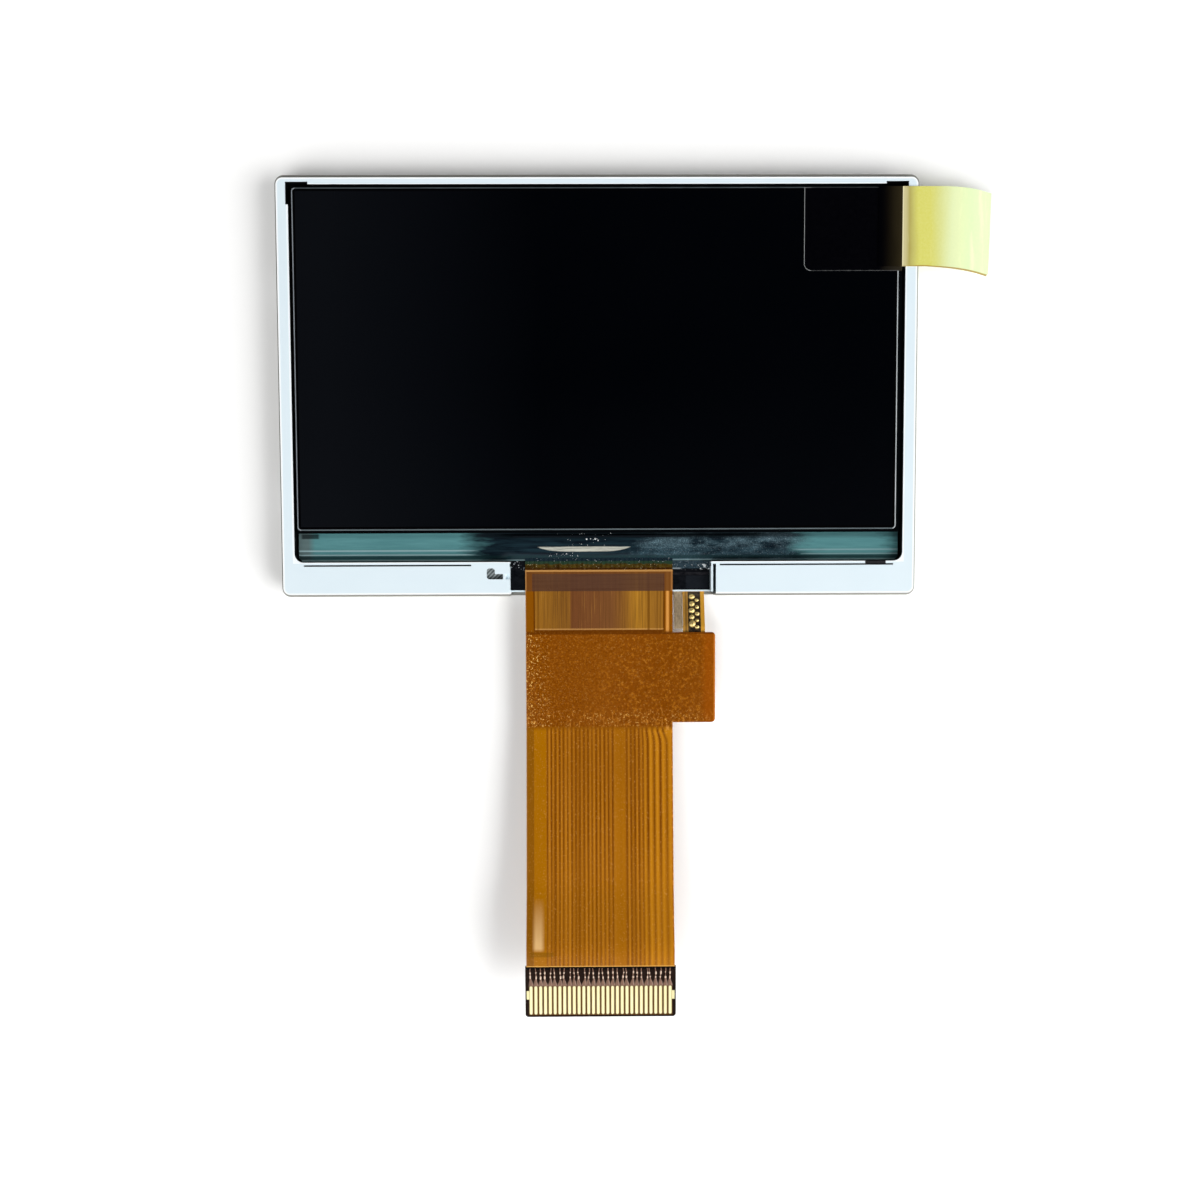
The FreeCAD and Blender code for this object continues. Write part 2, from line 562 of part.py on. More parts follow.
def make_cell():
    """Tape, polarizers and the two glass plates with the seal between them."""
    tape_side = "(%s - tape_in)" % seat_side
    tape_north = "(%s - tape_in)" % seat_north
    tape_south = "(%s + tape_in)" % seat_south
    tape = plate("rim_tape", seat_low, cell_low, "-" + tape_side, tape_side, tape_south, tape_north)
    pocket(tape, "tape_window", seat_low, cell_low,
           ("tape_inside - " + tape_side, tape_side + " - tape_inside", tape_south + " + tape_inside",
            tape_north + " - tape_inside"))
    plate("rear_polarizer", cell_low, glass_low,
          "rear_pol_in - " + glass_side, glass_side + " - rear_pol_in",
          glass_south + " + rear_pol_in", glass_north + " - rear_pol_in")
    rear = plate("tft_glass", glass_low, ledge_top, "-" + glass_side, glass_side, glass_south, glass_north)
    cut_corners(rear, "ledge_chamfer", lambda point: point.y < 0)
    seal = ("seal_in - " + glass_side, glass_side + " - seal_in", front_south + " + seal_in",
            glass_north + " - seal_in")
    hollow = ("seal_in + seal_wide - " + glass_side, glass_side + " - seal_in - seal_wide",
              front_south + " + seal_in + seal_wide", glass_north + " - seal_in - seal_wide")
    rim = plate("cell_seal", ledge_top, front_low, *seal)
    pocket(rim, "seal_window", ledge_top, front_low, hollow)
    plate("liquid_crystal_layer", ledge_top, front_low, *hollow)
    plate("colour_filter_glass", front_low, front_top, "-" + glass_side, glass_side, front_south, glass_north)
    polarizer = plate("front_polarizer", front_top, polarizer_top, pol_west, pol_east, pol_south, pol_north)
    round_corners(polarizer, "front_pol_corner")
    film = plate("protective_film", polarizer_top, film_top, pol_west + " + film_in",
                 pol_east + " - film_in", pol_south + " + film_in", pol_north + " - film_in")
    round_corners(film, "front_pol_corner - film_in")


def draw_bent_sheet(sketch, start, height, heading, thick, runs, bends):
    """Side view of a bent sheet: straight runs joined by tangent arcs, drawn as two parallel chains.
    A run is (length, slope in degrees), a bend is (radius of the lower face, 1 if it turns upwards)."""
    slopes = [math.radians(value(slope)) for length, slope in runs]
    chains = []
    for lift in (0.0, value(thick)):
        x, y = value(start), value(height) + lift
        chain = []
        for number, (length, slope) in enumerate(runs):
            reach = value(length)
            end_x = x + heading * reach * math.cos(slopes[number])
            end_y = y + reach * math.sin(slopes[number])
            line = sketch.addGeometry(Part.LineSegment(Vector(x, y, 0), Vector(end_x, end_y, 0)))
            chain.append((line, 1, 2))
            x, y = end_x, end_y
            if number == len(bends):
                break
            radius, side = value(bends[number][0]), bends[number][1]
            radius -= side * lift
            middle = Vector(x - side * radius * heading * math.sin(slopes[number]),
                            y + side * radius * math.cos(slopes[number]), 0)
            first = math.atan2(y - middle.y, x - middle.x)
            last = first + heading * (slopes[number + 1] - slopes[number])
            circle = Part.Circle(middle, Vector(0, 0, 1), radius)
            arc = sketch.addGeometry(Part.ArcOfCircle(circle, min(first, last), max(first, last)))
            chain.append((arc, 1, 2) if last > first else (arc, 2, 1))
            x, y = middle.x + radius * math.cos(last), middle.y + radius * math.sin(last)
        chains.append(chain)
    for chain in chains:
        for before, after in zip(chain, chain[1:]):
            sketch.addConstraint(Sketcher.Constraint("Tangent", before[0], before[2], after[0], after[1]))
    low, high = chains
    close_ends(sketch, low, high)
    sketch.addConstraint(Sketcher.Constraint("Horizontal", low[0][0]))
    for lower, upper in ((low[0], high[0]), (low[-1], high[-1])):
        sketch.addConstraint(Sketcher.Constraint("Parallel", lower[0], upper[0]))
    for number, (radius, side) in enumerate(bends):
        lower, upper = low[2 * number + 1][0], high[2 * number + 1][0]
        sketch.addConstraint(Sketcher.Constraint("Coincident", lower, 3, upper, 3))
        pin(sketch, "Radius", lower, radius)
        pin(sketch, "Radius", upper, "%s - %d * %s" % (radius, side, thick))
    pin(sketch, "DistanceX", -1, 1, low[0][0], 1, start)
    pin(sketch, "DistanceY", -1, 1, low[0][0], 1, height)
    for number, (length, slope) in enumerate(runs):
        line = low[2 * number][0]
        pin(sketch, "DistanceX", line, 1, line, 2, "%d * %s * cos(%s)" % (heading, length, slope))
        if number > 0 and slope != "0":
            pin(sketch, "DistanceY", line, 1, line, 2, "%s * sin(%s)" % (length, slope))
        elif number > 0:
            sketch.addConstraint(Sketcher.Constraint("Horizontal", line))


def close_ends(sketch, low, high):
    """Square ends across the sheet."""
    for piece, place in ((0, 1), (-1, 2)):
        below = sketch.Geometry[low[piece][0]]
        above = sketch.Geometry[high[piece][0]]
        points = [(item.StartPoint, item.EndPoint)[place - 1] for item in (below, above)]
        cap = sketch.addGeometry(Part.LineSegment(*points))
        sketch.addConstraint(Sketcher.Constraint("Coincident", cap, 1, low[piece][0], place))
        sketch.addConstraint(Sketcher.Constraint("Coincident", cap, 2, high[piece][0], place))
        sketch.addConstraint(Sketcher.Constraint("Perpendicular", cap, low[piece][0]))


def bent_pad(body, name, role, level, width, *profile):
    """Bent sheet of one width, raised from its side view."""
    sketch = plane_sketch(body, name + "_sketch", level, role)
    draw_bent_sheet(sketch, *profile)
    feature = body.newObject("PartDesign::Pad", name)
    feature.Profile = sketch
    feature.setExpression("Length", bound(width))
    doc.recompute()
    return feature


def flex_pad(body, name, west, width, start, low, thick, last_run="end_run"):
    """Layer of the flex: level to the first bend, then up in two slopes to the level contact end.
    low is the layer's underside above the flex's own underside."""
    runs = [("(%s - %s)" % (start, level_end), "0"), ("rise_run", "rise_angle"),
            ("steep_run", "steep_angle"), (last_run, "0")]
    bends = [("(rise_radius - %s)" % low, 1), ("(steep_radius - %s)" % low, 1),
             ("(end_radius + %s)" % low, -1)]
    return bent_pad(body, name, "YZ_Plane", west, width, start, "(%s + %s)" % (flex_low, low), -1,
                    thick, runs, bends)


def flex_plan(body, name, low, top):
    """Level wide part beside the strip, one layer thick."""
    pad(body, name, "%s + %s" % (flex_low, low), "%s + %s" % (flex_low, top),
        ("0", wide_east, "-" + wide_south, "-" + wide_north))
    wide_edge = value(wide_east)
    round_corners(body, "wide_part_corner", lambda point: point.x > wide_edge - touch)


def contact_plate(body, name, low, top):
    """Contact end of one layer, its outer corners rounded."""
    west = "(0 - flex_west - contact_over)"
    east = "(%s + contact_over)" % flex_east
    pad(body, name, low, top, (west, east, contact_south, contact_north))
    end_now = value(contact_south)
    round_corners(body, "contact_corner", lambda point: point.y < end_now + touch)


def make_flex_base():
    """Amber base film: strip, wide part and the level contact end."""
    body = new_body("flex_base_film")
    flex_pad(body, "base_strip", "-flex_west", "flex_wide", bond_north, "0", "base_thick")
    contact_plate(body, "base_contact_end", contact_low, contact_low + " + base_thick")
    flex_plan(body, "base_wide_part", "0", "base_thick")


def make_flex_copper():
    """Copper: narrow traces and a broad one down the tail, the pour of the wide part and the bond leads."""
    body = new_body("flex_copper")
    covered = "(end_run - contact_long)"
    pour_south = "(trace_start - %s)" % wide_south
    trace = flex_pad(body, "trace", "-trace_first", "trace_wide", pour_south,
                     "base_thick", "copper_thick", covered)
    row_of(body, trace, "trace_pitch", "trace_count")
    flex_pad(body, "broad_trace", "-band_west", "band_wide", pour_south,
             "base_thick", "copper_thick", covered)
    low = "%s + base_thick" % flex_low
    top = "%s + base_thick + copper_thick" % flex_low
    pour_north = "-%s - pour_in" % wide_north
    pad(body, "copper_pour", low, top,
        ("-flex_west + pour_in", wide_east + " - pour_in", pour_south, pour_north))
    lead = pad(body, "bond_lead", low, top,
               ("-bond_lead_first", "bond_lead_wide - bond_lead_first", pour_north, bond_north))
    row_of(body, lead, "bond_lead_pitch", "bond_lead_count")


def make_flex_cover():
    """Top film: the strip up to the contacts and the wide part, with the thin window left open."""
    body = new_body("flex_coverlay")
    start = "(%s - cover_start)" % seat_south
    low = "(base_thick + copper_thick)"
    top = "(%s + cover_thick)" % low
    flex_pad(body, "cover_strip", "-flex_west", "flex_wide", start, low,
             "cover_thick", "(end_run - contact_long)")
    flex_plan(body, "cover_wide_part", low, top)
    pocket(body, "thin_window", flex_low, "%s + %s + cut_past" % (flex_low, top),
           ("window_in - flex_west", flex_east + " - window_in",
            "-%s - window_long" % window_north, "-" + window_north))


def make_contacts():
    """Plate under the contact end, its gold fingers and the thin leads that feed them."""
    body = new_body("contact_stiffener")
    contact_plate(body, "stiffener_plate", contact_low + " - stiffener_thick", contact_low)
    low = "(%s + base_thick)" % contact_low
    top = "(%s + finger_thick)" % low
    south = "(%s + finger_end)" % contact_south
    north = "(%s + finger_long)" % south
    middle = "(flex_wide / 2 - flex_west)"
    first = "(%s - finger_pitch * (finger_count - 1) / 2 - finger_wide / 2)" % middle
    last = "(%s + finger_pitch * (finger_count - 1))" % first
    body = new_body("contact_fingers")
    finger = pad(body, "finger", low, top, (first, first + " + finger_wide", south, north))
    row_of(body, finger, "finger_pitch", "finger_count")
    ear_north = north + " - ear_in"
    ear_south = ear_north + " - ear_long"
    pad(body, "ears", low, top,
        (first + " - ear_out", first + " + finger_wide / 2", ear_south, ear_north),
        (last + " + finger_wide / 2", last + " + finger_wide + ear_out", ear_south, ear_north))
    body = new_body("contact_leads")
    lead_west = "(%s + finger_wide / 2 - lead_wide / 2)" % first
    lead = pad(body, "lead", low, low + " + copper_thick",
               (lead_west, lead_west + " + lead_wide", north, contact_north))
    row_of(body, lead, "finger_pitch", "finger_count")


def make_flex_bond():
    """Bond film on the ledge and the black tape that carries the flex in the bar's recess."""
    plate("bond_film", ledge_top, flex_low, "-flex_west + pour_in", flex_east + " - pour_in",
          glass_south, bond_north)
    plate("flex_tape", flex_low + " - flex_tape_thick", flex_low, "-recess_west + tape_clear",
          recess_east + " - tape_clear", recess_south + " + tape_clear", glass_south + " - tape_clear")


def make_ledge():
    """Driver chip on the ledge and the coat that covers it and the flex bond."""
    chip_north = "(%s - chip_back)" % front_south
    chip = ("-chip_long / 2", "chip_long / 2", chip_north + " - chip_wide", chip_north)
    chip_top = ledge_top + " + chip_thick"
    plate("driver_chip", ledge_top, chip_top, *chip)
    coat_top = "(%s + sealant_thick)" % ledge_top
    coat = plate("ledge_sealant", ledge_top, coat_top, "-sealant_west", "sealant_east",
                 glass_south + " + sealant_in", front_south + " - sealant_in")
    round_corners(coat, "sealant_corner")
    pocket(coat, "room_for_chip", ledge_top, chip_top, chip)
    pocket(coat, "room_for_flex", ledge_top, "%s + base_thick + copper_thick" % flex_low,
           ("-flex_west", flex_east, glass_south, bond_north))


def make_tab():
    """Clear sticker on the film and the tinted strip that hangs past the edge."""
    patch_west = "(%s - patch_wide)" % patch_east
    patch = plate("tab_patch", film_top, patch_top, patch_west, patch_east,
                  patch_north + " - patch_deep", patch_north)
    middle_x = value(patch_east + " - patch_wide / 2")
    middle_y = value(patch_north + " - patch_deep / 2")
    round_corners(patch, "patch_corner", lambda point: point.x < middle_x and point.y < middle_y)
    body = new_body("pull_tab")
    runs = [("(tab_lap + tab_level)", "0"), ("tab_drop_run", "-tab_angle")]
    start = "(%s - tab_lap)" % patch_east
    bent_pad(body, "tab_strip", "XZ_Plane", "0 - %s - tab_up" % patch_north, "(tab_deep + tab_flare)",
             start, patch_top, 1, "tab_thick", runs, [("tab_radius", -1)])
    # it widens towards its free end, which is cut at a slant
    before, north = start + " - cut_past", patch_north + " + tab_up + cut_past"
    edge = "(%s + tab_up - tab_deep)" % patch_north
    beyond = edge + " - tab_flare - cut_past"
    free_end = ("(%s + tab_level + tab_radius * sin(tab_angle) + tab_drop_run * cos(tab_angle) - tab_end_in)"
                % patch_east)
    near_end, past_end = free_end + " - tab_slant", free_end + " + cut_past"
    trim(body, "tab_flare_cut", "0", patch_top + " + cut_past",
         (before, beyond), (past_end, beyond), (past_end, edge + " - tab_flare"),
         (free_end, edge + " - tab_flare"), (patch_east + " + tab_flare_from", edge), (before, edge))
    trim(body, "tab_end_cut", "0", patch_top + " + cut_past",
         (near_end + " - tab_snip", beyond), (past_end, beyond), (past_end, north), (free_end, north),
         (near_end, edge + " - tab_flare + tab_snip"), (near_end + " - tab_snip", edge + " - tab_flare"))


def tail_pad(body, name, west, width, start, thick, last_run):
    """Sheet that leaves the frame level and climbs to the underside of the flex."""
    climb = "(%s - %s - led_flex_thick)" % (flex_low, guide_top)
    slant = "((%s - 2 * tail_radius * (1 - cos(tail_rise))) / sin(tail_rise))" % climb
    runs = [("(%s - %s + tail_clear)" % (start, step_south), "0"), (slant, "tail_rise"), (last_run, "0")]
    bends = [("tail_radius", 1), ("tail_radius", -1)]
    bent_pad(body, name, "YZ_Plane", west, width, start, guide_top, -1, thick, runs, bends)


def dome_column(body, name, middle, across, shift):
    """Low round solder dots in a column down the slope."""
    sketch = plane_sketch(body, name + "_sketch", shift, "XZ_Plane")
    foot, tall = value(across) / 2, size("dot_tall")
    flat = foot * size("dot_flat")
    corners = [Vector(0, 0, 0), Vector(foot, 0, 0), Vector(flat, tall, 0), Vector(0, tall, 0)]
    for side in range(4):
        sketch.addGeometry(Part.LineSegment(corners[side], corners[(side + 1) % 4]))
        if side:
            sketch.addConstraint(Sketcher.Constraint("Coincident", side - 1, 2, side, 1))
    sketch.addConstraint(Sketcher.Constraint("Coincident", 3, 2, 0, 1))
    sketch.addConstraint(Sketcher.Constraint("Horizontal", 0))
    sketch.addConstraint(Sketcher.Constraint("Horizontal", 2))
    sketch.addConstraint(Sketcher.Constraint("Vertical", 3))
    pin(sketch, "DistanceX", -1, 1, 0, 1, middle)
    pin(sketch, "DistanceY", -1, 1, 0, 1, "0")
    pin(sketch, "DistanceX", 0, 1, 0, 2, across + " / 2")
    pin(sketch, "DistanceX", 3, 2, 2, 1, across + " * dot_flat / 2")
    pin(sketch, "DistanceY", 3, 2, 3, 1, "dot_tall")
    dome = body.newObject("PartDesign::Revolution", name)
    dome.Profile = sketch
    dome.ReferenceAxis = (sketch, ["Edge4"])
    dome.Angle = 360
    doc.recompute()
    pattern = body.newObject("PartDesign::LinearPattern", name + "_row")
    pattern.Originals = [dome]
    axis = [item for item in body.Origin.OriginFeatures if item.Role == "Y_Axis"][0]
    pattern.Direction = (axis, [""])
    pattern.Reversed = True
    pattern.setExpression("Length", bound("dot_pitch * (dot_count - 1)"))
    pattern.setExpression("Occurrences", bound("dot_count"))
    body.Tip = pattern
    doc.recompute()


def make_led_strip():
    """Strip over the diodes with its tail, the solder dots on the tail and the grey tape beside it."""
    strip = plate("led_flex", guide_top, strip_top, "light_inset - " + guide_side,
                  guide_side + " - light_inset", strip_south, strip_north)
    tail_pad(strip, "tail", tail_west, "tail_wide", strip_south, "led_flex_thick", "tail_lap")
    body = new_body("tail_tape")
    tail_pad(body, "tape_strip", tail_west + " - tail_gap - tail_tape_wide", "tail_tape_wide",
             "(%s - tail_gap)" % step_south, "tail_tape_thick", "tail_gap")
    body = new_body("tail_solder_dots")
    dome_column(body, "large_dots", tail_west + " + dot_in", "dot_size", "dot_size / 2 + tail_gap")
    dome_column(body, "small_dots", tail_west + " + small_dot_in", "small_dot_size",
                "dot_size / 2 + tail_gap - dot_shift")
    # Laid on the climbing face of the tail
    body.setExpression("Placement.Base.y", bound("%s - tail_clear - tail_radius * sin(tail_rise)"
                                                 " + led_flex_thick * sin(tail_rise)" % step_south))
    body.setExpression("Placement.Base.z", bound("%s + tail_radius * (1 - cos(tail_rise))"
                                                 " + led_flex_thick * cos(tail_rise)" % guide_top))
    body.Placement.Rotation = FreeCAD.Rotation(Vector(1, 0, 0), -size("tail_rise"))
    body.setExpression("Placement.Rotation.Angle", bound("-tail_rise"))


def make_capacitors():
    """Small capacitors under the wide part of the flex."""
    row_y = "0 - (%s + %s) / 2" % (wide_north, wide_south)
    for number in range(int(size("part_count"))):
        middle = "%s / 2 - flex_west / 2 + part_pitch * (%d - (part_count - 1) / 2)" % (wide_east, number)
        west, east = band(middle, "part_wide")
        low = flex_low + " - part_tall"
        label = "chip_capacitor_%d" % (number + 1)
        plate(label, low, flex_low, west, east, row_y + " - part_long / 2", row_y + " + part_long / 2")


make_tray()
make_frame()
make_backlight()
make_cell()
make_ledge()
make_tab()
make_led_strip()
make_flex_base()
make_flex_copper()
make_flex_cover()
make_contacts()
make_flex_bond()
make_capacitors()

for item in doc.Objects:
    if "Invalid" in item.State or "Error" in item.State:
        raise ValueError("%s did not compute" % item.Name)
for piece in pieces:
    if piece.Shape.isNull() or not piece.Shape.isValid():
        raise ValueError("%s has no valid shape" % piece.Label)

os.makedirs("parts", exist_ok=True)
for piece in pieces:
    piece.Shape.exportStep("parts/%s.step" % piece.Label)
    print("%-24s %d solids %10.4f mm3" % (piece.Label, len(piece.Shape.Solids), piece.Shape.Volume))
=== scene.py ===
import math
import bpy
import numpy as np
from mathutils import Matrix, Vector


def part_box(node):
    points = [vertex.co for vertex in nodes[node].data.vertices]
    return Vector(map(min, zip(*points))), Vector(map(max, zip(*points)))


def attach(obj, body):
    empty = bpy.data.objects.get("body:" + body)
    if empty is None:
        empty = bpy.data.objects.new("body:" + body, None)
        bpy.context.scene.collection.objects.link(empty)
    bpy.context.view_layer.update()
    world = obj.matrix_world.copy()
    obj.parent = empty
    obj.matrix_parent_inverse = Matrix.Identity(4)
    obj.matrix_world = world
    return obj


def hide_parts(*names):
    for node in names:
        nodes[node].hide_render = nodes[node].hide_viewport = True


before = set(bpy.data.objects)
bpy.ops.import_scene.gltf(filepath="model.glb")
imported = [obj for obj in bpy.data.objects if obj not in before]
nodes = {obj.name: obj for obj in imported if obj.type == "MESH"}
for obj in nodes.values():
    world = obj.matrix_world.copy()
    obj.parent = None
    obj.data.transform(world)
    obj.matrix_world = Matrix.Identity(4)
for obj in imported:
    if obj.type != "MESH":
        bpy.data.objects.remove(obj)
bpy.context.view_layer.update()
mm = 0.001
print("frame loaded with", len(nodes), "nodes")

# Camera, floor and light

def placed(name, data):
    # a new object of the scene that shows the given data
    thing = bpy.data.objects.new(name, data)
    bpy.context.collection.objects.link(thing)
    return thing

view = {
    "place": (-0.48, -17.25, 100.18),  # mm, nearly overhead and close, as in the photograph
    "turn": (-2.762, -0.344, -0.219),  # rotation vector in degrees
    "lens": 28.0,
    "sensor": 36.0,
}

def makeCamera():
    turn = Vector(view["turn"]) * math.pi / 180
    data = bpy.data.cameras.new("camera")
    data.lens = view["lens"]
    data.sensor_width = view["sensor"]
    data.clip_start = 0.005
    camera = placed("camera", data)
    camera.matrix_world = Matrix.Translation(Vector(view["place"]) * mm) @ Matrix.Rotation(turn.length, 4, turn)
    bpy.context.scene.camera = camera

light = {
    "lamps": ((1.9, -0.9, 1.0, 18.7), (-0.6, -1.1, 1.0, 8.3)),  # direction from the module, then watts
    "aim": (0, -0.02, 0),  # m: what the lamps are turned to, how far they stand and how wide they are
    "distance": 1.0,
    "size": 0.92,
    "fill": 0.30,  # strength of the even light from the sides
    "ceiling": 0.03,  # share of it that comes from straight above, which the screen mirrors
    "fade": (0.80, 0.90),  # height of the sky over which the sides give way to the ceiling
    "air": (0.97, 0.98, 1.0, 1),
    "over": 1.12,  # the table is overexposed by this much; the finishes are darkened to match
}

def makeLight():
    for number, (x, y, z, watts) in enumerate(light["lamps"]):
        toward = Vector((x, y, z)).normalized()
        data = bpy.data.lights.new("softBox%d" % number, "AREA")
        data.shape = "SQUARE"
        data.size = light["size"]
        data.energy = watts
        lamp = placed("softBox%d" % number, data)
        lamp.location = toward * light["distance"] + Vector(light["aim"])
        lamp.rotation_euler = toward.to_track_quat("Z", "Y").to_euler()
    world = bpy.data.worlds.new("paleRoom")
    world.use_nodes = True
    tree = world.node_tree
    toSky = tree.nodes.new("ShaderNodeTexCoord")
    height = tree.nodes.new("ShaderNodeSeparateXYZ")
    fade = tree.nodes.new("ShaderNodeMapRange")
    ends = (*light["fade"], light["fill"], light["fill"] * light["ceiling"])
    for name, value in zip(("From Min", "From Max", "To Min", "To Max"), ends):
        fade.inputs[name].default_value = value
    tree.links.new(toSky.outputs["Generated"], height.inputs[0])
    tree.links.new(height.outputs["Z"], fade.inputs["Value"])
    tree.links.new(fade.outputs[0], tree.nodes["Background"].inputs["Strength"])
    tree.nodes["Background"].inputs["Color"].default_value = light["air"]
    bpy.context.scene.world = world
    bpy.context.scene.view_settings.view_transform = "Standard"

def putMesh(name, points, faces, smooth=False):
    mesh = bpy.data.meshes.new(name)
    mesh.from_pydata(points.tolist() if hasattr(points, "tolist") else points, [], faces)
    mesh.validate()
    mesh.update()
    if smooth:
        mesh.shade_smooth()
    return placed(name, mesh)

table = {
    "half": 3.0,  # m
    "colour": (0.97, 0.966, 0.955, 1),
}

def makeFloor():
    corners = [(x * table["half"], y * table["half"], 0) for x, y in ((-1, -1), (1, -1), (1, 1), (-1, 1))]
    floor = putMesh("floor", corners, [(0, 1, 2, 3)])
    finish = Finish("paleTable")
    finish.surface(table["colour"], 0.9, gloss=0.1)
    floor.data.materials.append(finish.material)

# Shader maths: a socket that adds Math nodes when it stands in an expression

class Wire:
    def __init__(self, finish, socket):
        self.finish, self.socket = finish, socket
    def __add__(self, other): return self.finish.maths("ADD", self, other)
    def __sub__(self, other): return self.finish.maths("SUBTRACT", self, other)
    def __mul__(self, other): return self.finish.maths("MULTIPLY", self, other)
    def __truediv__(self, other): return self.finish.maths("DIVIDE", self, other)
    def __rsub__(self, other): return self.finish.maths("SUBTRACT", other, self)
    def __neg__(self): return self.finish.maths("MULTIPLY", self, -1.0)
    __radd__ = __add__
    __rmul__ = __mul__

class Finish:
    def __init__(self, name):
        self.material = bpy.data.materials.new(name)
        self.material.use_nodes = True
        self.tree = self.material.node_tree
        self.shader = self.tree.nodes["Principled BSDF"]

    def add(self, kind, settings=None, sockets=None, out=0):
        # any node: its settings first, then the values or links of its sockets
        node = self.tree.nodes.new(kind)
        for name, setting in (settings or {}).items():
            if name == "stops":
                ramp = node.color_ramp
                while len(ramp.elements) < len(setting):
                    ramp.elements.new(1.0)
                for element, (at, colour) in zip(ramp.elements, setting):
                    element.position, element.color = at, colour
            else:
                setattr(node, name, setting)
        for name, given in (sockets or {}).items():
            self.feed(node.inputs[name], given)
        return Wire(self, node.outputs[out])

    def feed(self, socket, given):
        if isinstance(given, Wire):
            self.tree.links.new(given.socket, socket)
        else:
            socket.default_value = given

    def maths(self, operation, first, second=0.0, third=0.0, clamp=False):
        return self.add("ShaderNodeMath", {"operation": operation, "use_clamp": clamp},
                        {0: first, 1: second, 2: third})

    def level(self, x, gain, lift):
        # gain times x plus lift, held between 0 and 1
        return self.maths("MULTIPLY_ADD", x, gain, lift, clamp=True)

    def mix(self, factor, first, second):
        # between two colours; those given as screen values are taken through shade
        first, second = [shade(given) if isinstance(given, tuple) else given for given in (first, second)]
        return self.add("ShaderNodeMix", {"data_type": "RGBA"}, {0: factor, 6: first, 7: second}, 2)

    def layers(self, base, *coats):
        # each coat is a mask and the colour that it lays over what is there
        for mask, colour in coats:
            base = self.mix(mask, base, colour)
        return base

    def spot(self):
        # where the point lies on the piece, in millimetres
        place = self.add("ShaderNodeTexCoord", out="Object")
        scaled = self.add("ShaderNodeVectorMath", {"operation": "SCALE"}, {0: place, "Scale": 1000.0})
        parts = self.tree.nodes.new("ShaderNodeSeparateXYZ")
        self.tree.links.new(scaled.socket, parts.inputs[0])
        return [Wire(self, parts.outputs[axis]) for axis in range(3)] + [scaled]

    def between(self, x, low, high, soft):
        # 1 between two places, falling to 0 over a soft edge outside them
        rise = self.level(x, 1.0 / soft, (soft - low) / soft)
        fall = self.level(x, -1.0 / soft, (high + soft) / soft)
        return rise * fall

    def inside(self, x, y, alongX, alongY):
        # 1 in a rectangle, given as from, to and softness along each axis
        return self.between(x, *alongX) * self.between(y, *alongY)

    def noise(self, place, scale, detail=3.0, rough=0.5, stretch=(1, 1, 1)):
        if stretch != (1, 1, 1):
            place = self.add("ShaderNodeVectorMath", {"operation": "MULTIPLY"}, {0: place, 1: stretch})
        return self.add("ShaderNodeTexNoise", {}, {"Vector": place, "Scale": scale, "Detail": detail,
                                                   "Roughness": rough})

    def bump(self, height, strength, distance):
        normal = self.add("ShaderNodeBump", {}, {"Height": height, "Strength": strength, "Distance": distance})
        self.feed(self.shader.inputs["Normal"], normal)

    def surface(self, base=None, rough=None, gloss=None, metal=None, coat=None):
        for name, given in (("Base Color", base), ("Roughness", rough), ("Specular IOR Level", gloss),
                            ("Metallic", metal), ("Coat Weight", coat)):
            if given is not None:
                self.feed(self.shader.inputs[name], given)

def shade(value):
    # screen colour 0 to 255 as the linear colour that the shader takes
    return tuple((((c / 255 + 0.055) / 1.055) ** 2.4 if c > 10 else c / 255 / 12.92) / light["over"]
                 for c in value) + (1.0,)

def worn(name, colour, other, rough=0.4, grain=1.5, relief=0.0, metal=0.0, coat=0.0, gloss=0.5, stretch=(1, 1, 1)):
    # two close colours that drift into each other, a roughness that drifts with them and a faint relief
    finish = Finish(name)
    x, y, z, place = finish.spot()
    cloud = finish.noise(place, grain, 4.0, 0.6, stretch)
    finish.surface(finish.mix(cloud, colour, other), rough * 0.8 + cloud * (rough * 0.4), gloss, metal, coat)
    if relief:
        finish.bump(finish.noise(place, grain * 9, 3.0, 0.6, stretch), 0.5, relief * mm)
    return finish

# Finishes of the CAD pieces, by the record's slot names; colours as they are seen in the photograph

